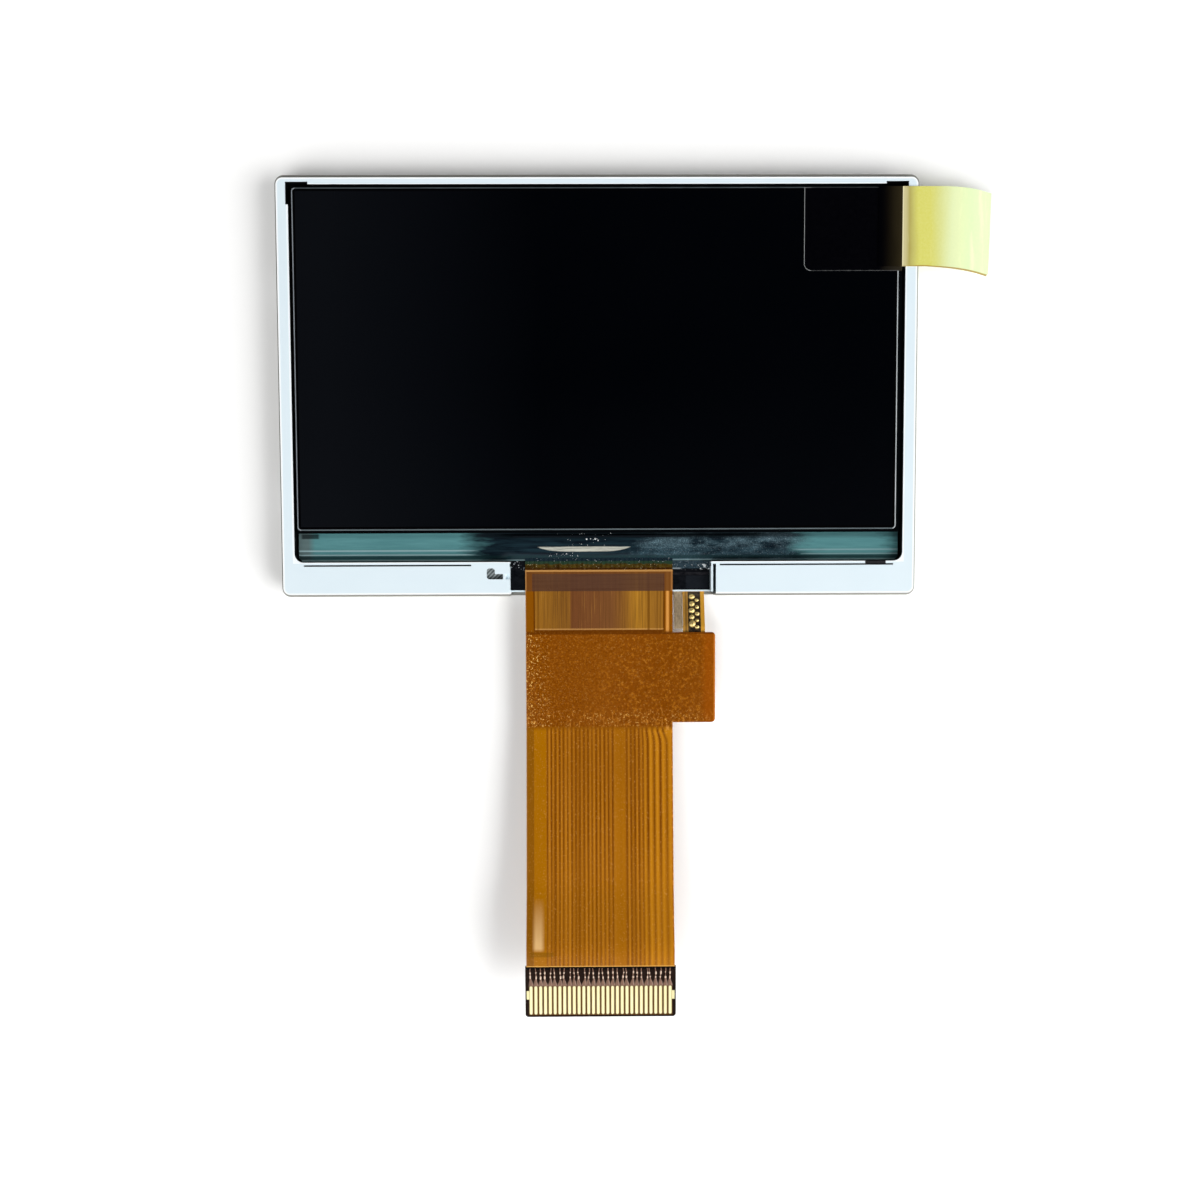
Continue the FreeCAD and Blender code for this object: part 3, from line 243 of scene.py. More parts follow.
plain = {
    "steel": dict(colour=(150, 149, 142), other=(174, 173, 166), rough=0.4, grain=2.0, relief=0.01, metal=0.5,
                  stretch=(1, 12, 1)),
    "white_sheet": dict(colour=(236, 238, 238), other=(246, 247, 247), rough=0.6, grain=0.6, relief=0.003),
    "clear_plastic": dict(colour=(205, 222, 228), other=(220, 234, 238), rough=0.12, grain=0.3, coat=0.4),
    "frosted_film": dict(colour=(222, 226, 228), other=(232, 236, 238), rough=0.7, grain=0.8, relief=0.004),
    "dark_film": dict(colour=(14, 18, 22), other=(22, 27, 32), rough=0.3, grain=0.6, gloss=0.2),
    "dark_glass": dict(colour=(3, 4, 6), other=(8, 11, 13), rough=0.12, grain=0.5, gloss=0.15),
    "seal_resin": dict(colour=(24, 28, 30), other=(34, 38, 40), rough=0.3, grain=2.0),
    "crystal_layer": dict(colour=(10, 12, 15), other=(18, 20, 24), rough=0.2, grain=1.0),
    "silicon": dict(colour=(12, 16, 20), other=(20, 25, 30), rough=0.25, grain=2.5, gloss=0.1),
    "grey_tape": dict(colour=(40, 30, 14), other=(206, 180, 142), rough=0.5, grain=4.2, relief=0.04,
                      stretch=(2, 0.6, 1)),
    "bond_resin": dict(colour=(60, 44, 14), other=(78, 58, 22), rough=0.35, grain=3.0, relief=0.01),
    "led_body": dict(colour=(236, 232, 190), other=(246, 240, 206), rough=0.4, grain=1.0),
    "ceramic_chip": dict(colour=(122, 96, 72), other=(142, 116, 90), rough=0.5, grain=5.0, relief=0.01),
    "stiffener": dict(colour=(60, 40, 28), other=(74, 50, 34), rough=0.4, grain=3.0, relief=0.01),
    "solder": dict(colour=(150, 100, 24), other=(255, 236, 160), rough=0.16, grain=3.5, relief=0.05, metal=0.6),
}

def edgeDepth(finish, x, y, low, high, corner):
    # how far inside a rectangle with rounded corners the point lies, in mm
    middle = [(a + b) / 2 for a, b in zip(low, high)]
    half = [(b - a) / 2 - corner for a, b in zip(low, high)]
    out = [finish.maths("MAXIMUM", finish.maths("ABSOLUTE", p - m) - h, 0.0)
           for p, m, h in zip((x, y), middle, half)]
    reach = finish.maths("SQRT", out[0] * out[0] + out[1] * out[1])
    return -(reach - corner)

def span(node):
    low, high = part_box(node)
    return [c / mm for c in low], [c / mm for c in high]

screen = {
    "black": (0, 1, 3),
    # painted reflection: lighter towards the left and the lower side
    "pale": (13, 15, 19),  # towards the left and the lower side
    "drift": (7, 8, 12),
    "shadow": (2, 2, 3),  # just inside the cut edge
    # painted highlight of the cut edge, brighter on its left and right sides
    "rim": (104, 114, 118),
    "rimGlintLeft": (142, 148, 154),
    "rimGlintRight": (196, 202, 204),
    "corner": 0.38,  # mm
}

def screenFinish():
    # black, softly glossy film with a painted reflection that lightens it towards the left and the lower side; its
    # cut edge shows as a thin grey line all round, a painted highlight
    low, high = span("protective_film")
    finish = Finish("screen_film")
    x, y, z, place = finish.spot()
    inside = edgeDepth(finish, x, y, low, high, screen["corner"])
    rim = finish.between(inside, -0.5, 0.07, 0.04)
    cloud = finish.noise(place, 0.08, 2.0)
    uneven = finish.noise(place, 0.35, 3.0)
    right = finish.between(x, high[0] - 0.25, high[0] + 1, 0.1)
    strong = finish.maths("MAXIMUM", finish.between(y, low[1] - 1, low[1] + 0.25, 0.1), right)
    # painted reflection, lighter towards the left and the lower side
    left = finish.level(x, -1 / 22.0, -6.0 / 22.0)
    lower = finish.level(y, -1 / 14.0, 1.0 / 14.0)
    west = finish.between(x, -50.0, low[0] + 0.3, 0.1)
    # painted highlight along the cut edge, stronger along the lower side and at the left and right
    pale = finish.mix(right, finish.mix(west, screen["rim"], screen["rimGlintLeft"]), screen["rimGlintRight"])
    base = finish.layers(
        finish.mix(left * 0.8 + lower * 0.2, screen["black"], screen["pale"]), (cloud * 0.25, screen["drift"]),
        (finish.between(inside, 0.16, 0.30, 0.08), screen["shadow"]),
        (rim * (uneven * 0.7 + 0.05 + strong * 0.4 + west * 0.4), pale))
    finish.surface(base, finish.noise(place, 2.0) * 0.06 + 0.16, gloss=0.12)
    return finish

casing = {
    "milk": ((216, 230, 237), (221, 234, 240)),
    "litRim": (250, 253, 254),
    # painted shade in the groove and the slit; painted light and shade on the ribs
    "groove": (34, 42, 46),
    "ribs": ((82, 90, 92), (176, 184, 186)),
    "slit": (46, 58, 64),
    "seat": (5, 6, 8),  # the gap beside the glass
    "foot": (30, 28, 30),
    "outline": ((-32.85, -21.3), (32.85, 21.3), 0.7),  # corners and rounding of the lit outer rim, mm
}

def frameFinish():
    # milky white moulding, black where the seat drops beside the glass; painted highlights on its rims, painted
    # shade in its grooves and slit, its pocket's ribs in painted light and shade
    finish = Finish("white_frame")
    x, y, z, place = finish.spot()
    cloud = finish.noise(place, 0.25, 3.0)
    seat, seatHigh = span("tft_glass")
    below = finish.between(z, -1.0, span("backlight_frame")[1][2] - 0.09, 0.02)
    outer = edgeDepth(finish, x, y, *casing["outline"])
    inner = finish.inside(x, y, (seat[0] - 0.38, seatHigh[0] + 0.38, 0.05),
                          (seat[1] - 0.2, seatHigh[1] + 0.15, 0.04))
    lit = finish.maths("MAXIMUM", finish.between(outer, -1.0, 0.08, 0.14), inner * 0.7)
    inSeat = finish.inside(x, y, (seat[0] - 0.75, seatHigh[0] + 0.75, 0.05),
                           (seat[1] - 0.14, seatHigh[1] + 0.55, 0.03))
    # painted shade in the grooves and the slit; the pocket's ribs as painted lit and shaded stripes
    grooves = finish.between(y, seat[1] - 0.60, seat[1] - 0.34, 0.03)
    pocket = finish.inside(x, y, (-11.8, -9.9, 0.05), (-19.85, -18.55, 0.03))
    ribs = finish.mix(finish.maths("SINE", (x - y) * 15.0) * 0.5 + 0.5, *casing["ribs"])
    slit = finish.inside(x, y, (11.86, 12.24, 0.03), (-22.0, -17.9, 0.05))
    foot = finish.inside(x, y, (27.8, 29.9, 0.05), (-18.25, -17.9, 0.03))
    base = finish.layers(
        finish.mix(cloud, *casing["milk"]), (lit, casing["litRim"]), (below * grooves, casing["groove"]),
        (below * pocket, ribs), (below * slit, casing["slit"]), (below * inSeat, casing["seat"]),
        (foot, casing["foot"]))
    finish.surface(base, cloud * 0.15 + 0.3, gloss=0.3)
    finish.bump(finish.noise(place, 3.0, 3.0), 0.4, 0.004 * mm)
    return finish

tape = {
    "black": ((0, 1, 4), (11, 14, 20)),
    "panel": (23, 27, 33),  # flat pane on the right
    "fold": (48, 46, 50),
    "sealant": ((15, 24, 31), (54, 74, 84)),  # run out over the tape on the right
    "speck": (206, 214, 218),
    "edge": (150, 160, 165),
    # painted highlight spots on the sealant at the top right
    "glintSpots": (226, 232, 235),
}

def tapeFinish():
    # black tape in the flex's recess: creased, light specks towards the glass, sealant run out on the right,
    # painted highlight spots on that sealant at the top right
    finish = Finish("black_tape")
    x, y, z, place = finish.spot()
    crease = finish.level(finish.noise(place, 1.6, 6.0, 0.75, (1, 2.0, 1)), 3.0, -1.0)
    speck = finish.level(finish.noise(place, 6.0, 1.0, 0.5), 14.0, -9.0)
    smear = finish.level(finish.noise(place, 2.4, 5.0, 0.75, (1, 2.2, 1)), 2.4, -0.7)
    glintSpots = finish.level(finish.noise(place, 3.2, 2.0, 0.5), 16.0, -8.6)
    right = finish.between(x, 5.0, 13.0, 0.5)
    panel = finish.inside(x, y, (9.2, 11.4, 0.12), (-20.72, -19.5, 0.12))
    fold = finish.between(y, -19.32, -19.12, 0.08) * right
    run = finish.between(y, -18.66, -17.0, 0.05) * right
    near = finish.between(y, -18.6, -18.1, 0.3) * (1.0 - right * 0.6)
    edge = finish.between(y, -18.74, -18.62, 0.03) * finish.between(x, 7.7, 8.5, 0.2)
    # where the painted highlight spots lie
    bright = finish.inside(x, y, (10.5, 11.8, 0.15), (-18.72, -18.3, 0.12))
    base = finish.layers(
        finish.mix(crease, *tape["black"]), (panel * 0.8, tape["panel"]), (fold * crease * 0.6, tape["fold"]),
        (run, finish.mix(smear, *tape["sealant"])), (speck * near, tape["speck"]), (edge * 0.6, tape["edge"]),
        (glintSpots * bright, tape["glintSpots"]))
    finish.surface(base, crease * 0.3 + 0.3, gloss=0.07)
    finish.bump(crease, 0.5, 0.03 * mm)
    return finish

film = {
    "olive": ((42, 26, 4), (84, 66, 18)),  # on the glass, then its seam, specks and green strip
    "seam": (56, 28, 4),
    "speck": (206, 190, 150),
    "green": (36, 56, 40),
    "bond": ((14, 26, 34), (26, 42, 50)),
    "contact": ((22, 14, 11), (42, 28, 21)),  # contact end, its dark band and the film under the gold
    "band": (14, 9, 7),
    "underGold": ((118, 80, 30), (96, 62, 26)),
}

def baseFilmFinish(name, colour, other, bright):
    # amber base film and copper: dark where they lie on the glass, brown at the contact end
    finish = Finish(name)
    x, y, z, place = finish.spot()
    cloud = finish.noise(place, 1.2, 3.0)
    blot = finish.level(finish.noise(place, 2.2, 5.0, 0.7, (0.7, 1, 1)), 3.0, -1.0)
    speck = finish.level(finish.noise(place, 6.0, 2.0, 0.5), 14.0, -9.2)
    olive = finish.layers(
        finish.mix(blot, *film["olive"]), (finish.between(y, -18.9, -18.66, 0.12), film["seam"]),
        (speck * 0.8, film["speck"]))
    under = finish.between(y, -65.2, -62.1, 0.05) * finish.between(x, -7.45, 7.45, 0.05)
    brown = finish.layers(
        finish.mix(cloud, *film["contact"]), (finish.between(y, -60.38, -59.0, 0.08), film["band"]),
        (under, finish.mix(cloud, *film["underGold"])))
    base = finish.layers(
        finish.mix(cloud, colour, other), (finish.between(y, -18.86, -10.0, 0.05), olive),
        (finish.between(y + blot * 0.24, -18.0, -10.0, 0.12), film["green"]),
        (finish.between(y, -17.84, -10.0, 0.10), finish.mix(cloud, *film["bond"])),
        (finish.between(y, -80.0, -60.08, 0.03), brown))
    finish.surface(base, cloud * 0.15 + 0.3, gloss=bright)
    return finish

fingers = {
    "plate": ((252, 240, 174), (255, 252, 210)),
    # painted shade towards each finger's sides, then towards its ends
    "side": (220, 192, 104),
    "end": (196, 160, 84),
    "corner": (72, 48, 22),
    "count": 30,
    "first": -7.25,  # mm: middle of the first finger, then pitch and width
    "pitch": 0.5,
    "width": 0.36,
}

def goldFinish():
    # gold plating: bright along the middle of each finger, with painted shade deepening towards its sides and its
    # ends
    low, high = span("contact_fingers")
    half = fingers["width"] / 2
    finish = Finish("gold")
    x, y, z, place = finish.spot()
    cloud = finish.noise(place, 1.0, 3.0, 0.5, (1, 0.3, 1))
    off = finish.maths("FRACT", (x - fingers["first"]) / fingers["pitch"] + 0.5) - 0.5
    across = finish.maths("ABSOLUTE", off) / (half / fingers["pitch"])
    ends = finish.between(y, low[1] + 0.15, high[1] - 0.1, 0.2)
    # dark corners round off both ends of each finger
    beyond = finish.maths("MAXIMUM", (low[1] + 0.16) - y, 0.0) + finish.maths("MAXIMUM", y - (high[1] - 0.14), 0.0)
    reach = finish.maths("SQRT", across * across * half ** 2 + beyond * beyond)
    corner = finish.between(reach, 0.165, 1.0, 0.02) * finish.between(x, -7.42, 7.42, 0.02)
    base = finish.layers(
        finish.mix(cloud, *fingers["plate"]), (finish.level(across, 3.0, -0.8) * 0.35, fingers["side"]),
        ((1.0 - ends) * 0.3, fingers["end"]), (corner, fingers["corner"]))
    finish.surface(base, cloud * 0.1 + 0.25, metal=0.1)
    return finish

narrowTail = {
    "amber": ((150, 104, 26), (196, 146, 62)),
    "dark": ((14, 9, 4), (84, 60, 24)),  # between the rows of holes
    "rightEdge": (206, 148, 36),
    "leftLine": (96, 64, 18),
}

def tailFinish():
    # narrow amber tail: gold-edged film, near black between the two rows of soldered holes
    finish = Finish("amber_film")
    x, y, z, place = finish.spot()
    cloud = finish.noise(place, 2.2, 4.0, 0.6)
    drift = cloud * 0.3 - 0.15
    dark = finish.between(x + drift * 0.5, 9.44, 10.68, 0.08) * finish.between(y, -26.0, -21.2, 0.1)
    base = finish.layers(
        finish.mix(cloud, *narrowTail["amber"]),
        (dark, finish.mix(finish.level(cloud, 3.0, -1.2), *narrowTail["dark"])),
        (finish.between(x, 10.78, 13.0, 0.06) * 0.8, narrowTail["rightEdge"]),
        (finish.between(x, 9.10, 9.28, 0.04) * 0.6, narrowTail["leftLine"]))
    finish.surface(base, cloud * 0.2 + 0.25, coat=0.3)
    finish.bump(cloud, 0.5, 0.02 * mm)
    return finish

ledge = {
    "teal": ((66, 114, 118), (96, 148, 150)),
    "navy": ((11, 19, 27), (30, 50, 58)),
    "haze": (78, 108, 120),  # mottling right of the chip: clouds, denser ones and dust
    "denseHaze": (118, 143, 152),
    "dust": (150, 166, 172),
    "leftEnd": ((76, 94, 96), (100, 120, 120)),
    "shadow": (17, 24, 28),  # under the edge of the upper glass
    "lines": (150, 178, 182),
    "step": (20, 42, 45),
    "edge": (150, 178, 180),
    "mark": (12, 18, 20),
    "glint": (184, 184, 172),
    "glintAt": (-1.55, -16.38, 4.95, 0.52),  # mm: middle in x and y, half its length, its depth
}

def ledgeFinish(name="ledge_glass"):
    # the uncovered glass: teal at both ends, navy by the driver chip, streaked along its length
    finish = Finish(name)
    x, y, z, place = finish.spot()
    south = y - span("tft_glass")[0][1]  # mm from the ledge's outer edge
    drift = finish.noise(place, 0.30, 4.0, 0.6, (0.6, 3.0, 1))
    streak = finish.noise(place, 1.3, 5.0, 0.65, (0.22, 2.6, 1))
    dust = finish.level(finish.noise(place, 9.0, 2.0, 0.6), 10.0, -6.1)
    smoke = finish.level(finish.noise(place, 0.6, 7.0, 0.62, (0.7, 1.6, 1)), 3.1, -1.22)
    powder = finish.level(finish.noise(place, 7.0, 3.0, 0.75), 6.0, -2.9)
    along = x + drift * 9.0 - 4.5
    teal = finish.mix(streak, *ledge["teal"])
    mottle = finish.between(along, 6.0, 21.5, 3.0)
    lower = finish.between(south, 0.3, 1.1, 0.5)
    ends = finish.between(along, -33.0, -14.5, 2.2) + finish.between(along, 22.0, 33.0, 1.2) * 0.6
    lines = finish.between(south, 1.04, 1.12, 0.06) + finish.between(south, 0.60, 0.68, 0.05)
    mark = finish.between(x, -31.0, -29.4, 0.2) * finish.between(south, 2.4, 2.8, 0.1)
    # pale glint along the chip: flat above, bowed below by a curve that is flat in its middle
    middleX, middleY, half, deep = ledge["glintAt"]
    t = (x - middleX) / half
    t = t * t
    bow = finish.maths("MAXIMUM", 1.0 - t * t, 0.0)
    depth = (middleY - y) / (bow * deep + 0.001)
    glint = finish.between(depth, 0.06, 0.90, 0.16) * finish.maths("MINIMUM", bow * 4.0, 1.0)
    thread = finish.level(finish.noise(place, 1.0, 4.0, 0.7, (0.35, 6.0, 0.1)), 3.2, -0.75)
    base = finish.layers(
        finish.mix(finish.level(streak, 2.4, -0.85), *ledge["navy"]),
        (mottle * smoke * (powder * 0.6 + 0.4), ledge["haze"]),
        (mottle * (1.0 - lower) * smoke * (powder * 0.7 + 0.2), ledge["denseHaze"]),
        (mottle * dust * (smoke * 0.4 + 0.25), ledge["dust"]), (finish.between(along, -29.6, -15.0, 3.2), teal),
        (finish.between(along, 23.2, 29.9, 3.4), teal),
        (finish.between(x, -40.0, -30.4, 0.7), finish.mix(streak, *ledge["leftEnd"])),
        (finish.between(south, 2.55, 3.2, 0.35) * (0.8 - ends * 0.6), ledge["shadow"]),
        (lines * ends * 0.85, ledge["lines"]), (finish.between(south, 0.26, 0.50, 0.10) * 0.75, ledge["step"]),
        (finish.between(south, -0.2, 0.10, 0.07) * (0.35 + ends * 0.65), ledge["edge"]),
        (mark * 0.8, ledge["mark"]), (glint * thread, ledge["glint"]))
    finish.surface(base, streak * 0.12 + 0.1, gloss=0.25)
    finish.bump(streak, 0.3, 0.01 * mm)
    return finish

def sealantFinish():
    # clear coating bead over the chip and the bond, so dark that the glass's mottling shows through
    finish = ledgeFinish("sealant")
    finish.surface(rough=0.42, gloss=0.03)
    return finish

tab = {
    # painted light and shade: pale towards the free end, deeper yellow over the tab's own shadow on the table,
    # shade at the bend, highlights on the step and the crease, shade on the curled lower edge
    "pale": ((211, 223, 172), (199, 221, 170)),  # the free end
    "shadedYellow": (206, 202, 86),
    "grain": (240, 242, 186),
    "bend": (172, 160, 84),
    "root": (208, 200, 158),
    "step": (236, 226, 184),
    "crease": (250, 250, 206),
    "overScreen": ((2, 2, 4), (50, 43, 26)),
    "edge": (158, 124, 50),
}

def tabFinish():
    # yellow release tape: darkened over the black film; painted shade makes it strongest at the bend and over its
    # own shadow on the table, painted light makes it pale towards its free end
    finish = Finish("tab_film")
    x, y, z, place = finish.spot()
    cloud = finish.noise(place, 0.5, 3.0, 0.5, (1, 0.3, 1))
    grain = finish.noise(place, 4.0, 3.0, 0.6)
    # painted highlight streaks along a crease
    crease = finish.level(finish.noise(place, 0.9, 4.0, 0.6, (1, 0.12, 1)), 6.0, -3.3)
    along = x + cloud * 0.9 - 0.45
    over = finish.between(x, 20.0, 31.22, 0.06)
    fade = finish.level(x, 1 / 2.4, -28.9 / 2.4)
    # painted shade along the curled lower edge, widening towards the free end
    flare = finish.maths("MAXIMUM", (x - 33.68) * 0.0804, 0.0)
    grown = finish.maths("MAXIMUM", (x - 34.5) * 0.016, 0.0)
    rim = finish.between(y + flare - grown, 11.8, 12.34, 0.05) * finish.between(x, 33.0, 50.0, 2.0)
    base = finish.layers(
        finish.mix(finish.between(along, 38.4, 42.0, 1.2), *tab["pale"]),
        (finish.between(along, 32.7, 34.2, 2.2), tab["shadedYellow"]), (grain * 0.30, tab["grain"]),
        (finish.between(along, 30.0, 31.9, 1.1), tab["bend"]),
        (finish.between(x, 30.0, 31.55, 0.45) * 0.7, tab["root"]),
        # painted highlights on the step and the crease
        (finish.between(x, 31.26, 31.34, 0.04) * 0.8, tab["step"]), (crease * 0.35, tab["crease"]),
        (over, finish.mix(fade * fade * (cloud + 0.4), *tab["overScreen"])), (rim * 0.85, tab["edge"]))
    finish.surface(base, (cloud * 0.2 + 0.35) * (1.0 - over * 0.8), gloss=0.12)
    finish.bump(grain * (1.0 - over), 0.4, 0.01 * mm)
    return finish

sticker = {
    "film": ((1, 1, 3), (4, 4, 7)),
    "brown": (52, 47, 36),  # towards the tab
    # painted highlight along the cut edge
    "outline": (160, 162, 162),
    "corner": 0.7,  # mm
}

def patchFinish():
    # clear adhesive film over the black screen, seen by its thin grey outline, a painted highlight along its cut
    # edge
    low, high = span("tab_patch")
    finish = Finish("clear_film")
    x, y, z, place = finish.spot()
    inside = edgeDepth(finish, x, y, low, [c + 3.0 for c in high], sticker["corner"])
    north = finish.between(y, high[1] - 0.03, high[1] + 1.0, 0.03)
    # painted highlight along the cut edge, brighter along the north side and at the west
    rim = (finish.between(inside, -0.5, 0.035, 0.03) + north * 0.5) * finish.between(x, 20.0, high[0] - 0.4, 0.2)
    dotted = finish.noise(place, 2.5, 3.0)
    west = finish.between(x, 20.0, low[0] + 0.6, 0.2)
    base = finish.layers(
        finish.mix(dotted, *sticker["film"]), (finish.level(x, 1 / 3.2, -28.9 / 3.2), sticker["brown"]),
        (rim * (dotted * 0.3 + west * 0.6), sticker["outline"]))
    finish.surface(base, dotted * 0.1 + 0.12, gloss=0.12)
    return finish

made = {
    "white_frame": frameFinish,
    "black_tape": tapeFinish,
    "screen_film": screenFinish,
    "clear_film": patchFinish,
    "tab_film": tabFinish,
    "ledge_glass": ledgeFinish,
    "sealant": sealantFinish,
    "gold": goldFinish,
    "amber_film": tailFinish,
    "flex_film": lambda: baseFilmFinish("flex_film", (142, 86, 10), (158, 98, 16), 0.03),
    "copper": lambda: baseFilmFinish("copper", (150, 92, 22), (172, 108, 34), 0.12),
}

def dress():
    # each CAD node keeps its mesh and takes the finish of its material slot
    finishes = {name: worn(name, **look) for name, look in plain.items()}
    finishes.update({name: make() for name, make in made.items()})
    for node in nodes.values():
        for place in node.material_slots:
            slot = place.material.name.split(".")[0]
            if slot in finishes:
                place.material = finishes[slot].material
    nodes["protective_film"].material_slots[0].material = finishes["screen_film"].material
    return finishes

def softened(node, width):
    # a copy of a CAD node with its tessellation merged and its sharp edges rounded a little
    piece = nodes[node].copy()
    piece.data = nodes[node].data.copy()
    piece.name = node + "_soft"
    bpy.context.collection.objects.link(piece)
    for key in [key for key in piece.keys() if key.startswith("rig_")]:
        del piece[key]
    piece.parent = None
    weld = piece.modifiers.new("weld", "WELD")
    weld.merge_threshold = 0.002 * mm
    bevel = piece.modifiers.new("bevel", "BEVEL")
    bevel.width = width * mm
    bevel.segments = 2
    bevel.limit_method = "ANGLE"
    bevel.angle_limit = math.radians(40)
    bevel.harden_normals = True
    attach(piece, "root")
    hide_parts(node)

# Flexible circuit: coverlay skin with real relief

def topLine(node):
    # height of a bent sheet's upper side along y, from the faces that look up
    mesh = nodes[node].data
    up = [face for face in mesh.polygons if face.normal.z > 0.4]
    corners = {index for face in up for index in face.vertices}
    spots = sorted((mesh.vertices[i].co.y / mm, mesh.vertices[i].co.z / mm) for i in corners)
    places, heights = [], []
    for place, height in spots:
        if places and place - places[-1] < 0.004:
            heights[-1] = max(heights[-1], height)
        else:
            places.append(place)
            heights.append(height)
    return np.array(places), np.array(heights)

def smoothNoise(x, y, cell, seed):
    # random heights on a lattice of square cells, blended between them by a smooth step
    rng = np.random.default_rng(seed)
    table = rng.random((256, 256))
    u, v = x / cell + 300.0, y / cell + 300.0
    i, j = np.floor(u).astype(int), np.floor(v).astype(int)
    a, b = u - i, v - j
    a, b = a * a * (3 - 2 * a), b * b * (3 - 2 * b)
    at = lambda p, q: table[p % 256, q % 256]
    low = at(i, j) * (1 - a) + at(i + 1, j) * a
    high = at(i, j + 1) * (1 - a) + at(i + 1, j + 1) * a
    return low * (1 - b) + high * b

def ramp(value, low, high):
    # 0 below, 1 above and a smooth step between
    t = np.clip((value - low) / (high - low), 0.0, 1.0)
    return t * t * (3 - 2 * t)

def slab(name, plan, top, bottom, keep):
    # a closed skin over a grid: rows of points in plan, heights above and below, and which cells stand
    x, y = plan
    rows, columns = x.shape
    count = rows * columns
    points = np.concatenate([np.stack([x, y, z], -1).reshape(-1, 3) for z in (top, bottom)])
    index = np.arange(count).reshape(rows, columns)
    a, b, c, d = index[:-1, :-1], index[:-1, 1:], index[1:, 1:], index[1:, :-1]
    upper = np.stack([a, b, c, d], -1)[keep]
    lower = np.stack([d, c, b, a], -1)[keep] + count
    padded = np.pad(keep, 1)
    walls = []
    for (p, q), shift in (((a, b), (0, 1)), ((b, c), (1, 2)), ((c, d), (2, 1)), ((d, a), (1, 0))):
        beyond = padded[shift[0]:shift[0] + rows - 1, shift[1]:shift[1] + columns - 1]
        edge = keep & ~beyond
        walls.append(np.stack([q[edge], p[edge], p[edge] + count, q[edge] + count], -1))
    faces = np.concatenate([upper, lower] + walls)
    used, again = np.unique(faces, return_inverse=True)
    piece = putMesh(name, points[used] * mm, again.reshape(faces.shape).tolist())
    piece.data.polygons.foreach_set("use_smooth", np.arange(len(faces)) < len(upper))
    piece.data.set_sharp_from_angle(angle=math.radians(50))
    return piece

def spread(stops, step):
    # places from stop to stop in even steps no longer than the given one
    parts = [np.linspace(a, b, max(2, int(math.ceil((b - a) / step)) + 1))[:-1] for a, b in zip(stops, stops[1:])]
    return np.concatenate(parts + [[stops[-1]]])

flex = {
    "thick": 0.04,  # coverlay, mm as all sizes here
    "stripHalf": 7.73,
    "windowX": (-6.73, 6.73),
    "windowSouth": -25.1,
    "wideY": (-34.95, -25.4),
    "corner": 0.4,
    "gaps": ((-5.54, 0.43, -5.76, 1.60), (2.86, 0.43, 2.70, 4.78), (5.10, 0.66, 4.78, 7.50)),
    "gapHalf": 0.07,  # gaps between traces: first, pitch, from and to for each group
    "broadTrace": (-6.92, -5.66),
    "traceStart": -36.1,
    "rise": 0.010,  # height that a trace lifts the film
    "grain": 0.055,  # depth of the pressed texture on the wide part
    "halves": -36.4,  # where the fine northern grid meets the long one
    "across": 0.05,  # grid step across the film, then along the wide part, the window and the tail
    "along": (0.12, 0.4, 0.42),
    "overCopper": ((146, 86, 4), (196, 126, 26)),
    "betweenTraces": ((110, 56, 0), (124, 66, 0)),
    "broad": ((160, 98, 0), (170, 108, 0)),
    "margin": (138, 84, 3),
    "glare": (224, 180, 120),
    "wide": ((116, 58, 0), (132, 70, 0)),
    # painted light and shade of the pressed texture: shaded pits, lit dimples, glints
    "shadedPits": (92, 42, 0),
    "litDimples": (180, 112, 26),
    "glintDot": (255, 204, 112),
    "windowStops": ((0.0, (150, 100, 30)), (0.10, (136, 90, 28)), (0.27, (128, 84, 30)), (0.285, (108, 64, 34)),
                    (0.60, (118, 74, 38)), (0.70, (132, 86, 32)), (0.80, (170, 118, 34)), (0.93, (146, 98, 32))),
    "border": ((124, 68, 0), (138, 80, 2)),
    "mauve": ((74, 48, 38), (92, 62, 43)),  # over the black recess
    "outline": (176, 128, 70),
}

def skinHeights(x, y, base, reach):
    # lift over the traces, dimples pressed on the wide part, edges rounded off
    wideSouth, wideNorth = flex["wideY"]
    half = flex["stripHalf"]
    grain = smoothNoise(x, y, 0.21, 3) * 0.6 + smoothNoise(x, y, 0.13, 4) * 0.4
    coarse = smoothNoise(x, y, 0.33, 5)
    west = 1 - ramp(x, -6.4, -4.6)
    grain = grain * (0.55 + 0.45 * west) + coarse * 0.35 * ramp(x, -2.0, 3.0)
    pressed = ramp(y, wideSouth - 1.4, wideSouth + 0.2) * (1 - ramp(y, wideNorth - 0.7, wideNorth))
    along = 1 - ramp(y, flex["traceStart"] - 0.8, flex["traceStart"] + 0.4)
    lift = ramp(x, flex["broadTrace"][0] - 0.05, flex["broadTrace"][0] + 0.04)
    for first, pitch, start, end in flex["gaps"]:
        off = np.abs(((x - first) / pitch + 0.5) % 1.0 - 0.5) * pitch
        gap = 1 - ramp(off, flex["gapHalf"] - 0.03, flex["gapHalf"] + 0.06)
        lift = lift - gap * ((x > start) & (x < end))
    shelf = 1 - ramp(y, wideNorth - 0.10, wideNorth + 0.22)  # the window lies a little lower
    rim = np.minimum(x + half, reach - x)
    soft = 1 - ramp(rim, 0.0, 0.10)
    return (base + flex["rise"] * lift * along + flex["grain"] * (grain - 0.55) * pressed
            - 0.015 * soft - 0.01 * (1 - shelf))

